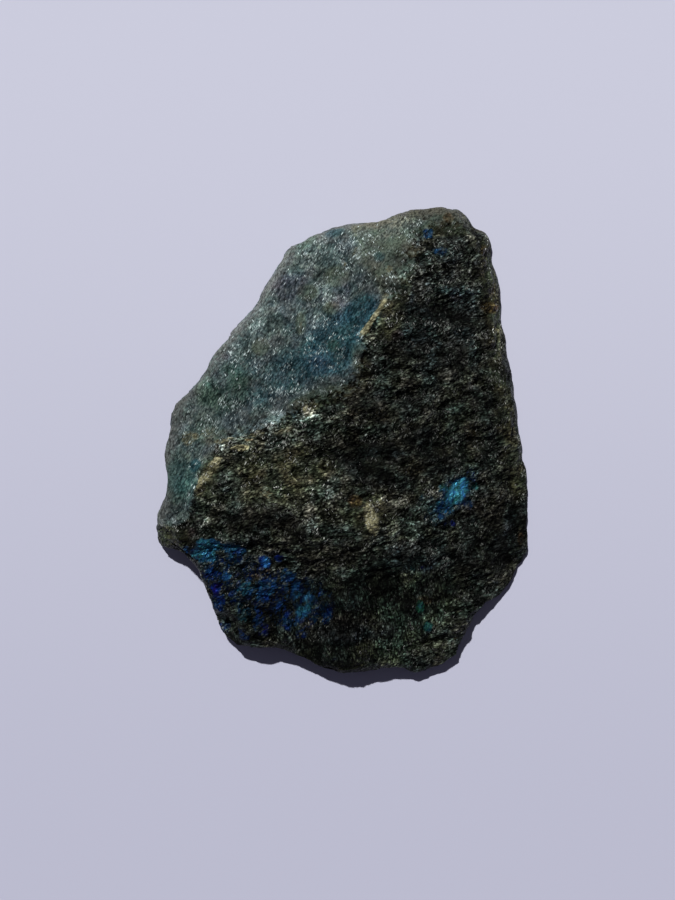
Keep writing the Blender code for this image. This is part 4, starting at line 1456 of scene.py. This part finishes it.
@dataclass
class PaleFloor:
    """The plain floor that the stone rests on."""

    reach: float = 3.0  # metres from the middle to each side
    finish: FloorFinish = FloorFinish()

    def build(self) -> bpy.types.Object:
        """Makes the floor.

        Returns:
            The floor.
        """
        mesh = bpy.data.meshes.new("floor")
        work = bmesh.new()
        bmesh.ops.create_grid(work, x_segments=1, y_segments=1, size=self.reach)
        work.to_mesh(mesh)
        work.free()
        mesh.materials.append(self.finish.material())
        floor = placed("floor", mesh)
        return floor


@dataclass
class StudioLight:
    """One soft key light from the upper left, and a surround that is pale low down and dim above."""

    strength: float = 3.8
    height: float = 52.0
    turn: float = 21.0
    softness: float = 1.6
    fill: Colour = (0.058, 0.056, 0.078)
    horizon: Colour = (0.550, 0.556, 0.670)
    horizon_rise: float = 0.16

    def build(self) -> bpy.types.Object:
        """Makes the key light and the surround.

        Returns:
            The key light.
        """
        key = bpy.data.lights.new("key", "SUN")
        key.energy = self.strength
        key.angle = math.radians(self.softness)
        light = placed("key", key)
        height, turn = math.radians(self.height), math.radians(self.turn)
        level = math.cos(height)
        towards = Vector((-math.sin(turn) * level, math.cos(turn) * level, math.sin(height)))
        light.rotation_euler = towards.to_track_quat("Z", "Y").to_euler()
        world = bpy.data.worlds.new("surround")
        world.use_nodes = True
        bpy.context.scene.world = world
        board = Board(world.node_tree)
        rise = board.coordinate("Generated").split().also("Z").step(0.0, self.horizon_rise)
        colour = board.mix(rise, self.horizon, self.fill)
        board.feed(world.node_tree.nodes["Background"], {"Color": colour})
        return light


@dataclass
class TopCamera:
    """A camera that looks straight down on the stone."""

    image_height: float = 192.7
    middle_x: float = -0.9
    middle_y: float = -1.9
    above: float = 300.0
    focus_height: float = 4.0
    sensor: float = 36.0
    nearest: float = 10.0

    def build(self) -> bpy.types.Object:
        """Makes the camera.

        Returns:
            The camera, which is the scene's.
        """
        data = bpy.data.cameras.new("camera")
        data.sensor_width = self.sensor
        data.lens = self.sensor * (self.above - self.focus_height) / self.image_height
        data.clip_start = self.nearest * MM
        camera = placed("camera", data)
        camera.location = (self.middle_x * MM, self.middle_y * MM, self.above * MM)
        bpy.context.scene.camera = camera
        return camera


def save_sizes() -> None:
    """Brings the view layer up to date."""
    bpy.context.view_layer.update()


def main() -> None:
    """Builds the camera, the light, the floor and the stone, and reports each."""
    logging.basicConfig(level=logging.INFO, format="%(name)s: %(message)s")
    noise.seed_set(WAVER_SEED)
    bpy.context.scene.view_settings.view_transform = "Standard"
    for maker in (TopCamera(), StudioLight(), PaleFloor()):
        LOG.info("made %s", maker.build().name)
    stone = RoughStone().build()
    LOG.info("%s: %d faces", stone.name, len(stone.data.polygons))
    save_sizes()


if __name__ == "__main__":
    main()
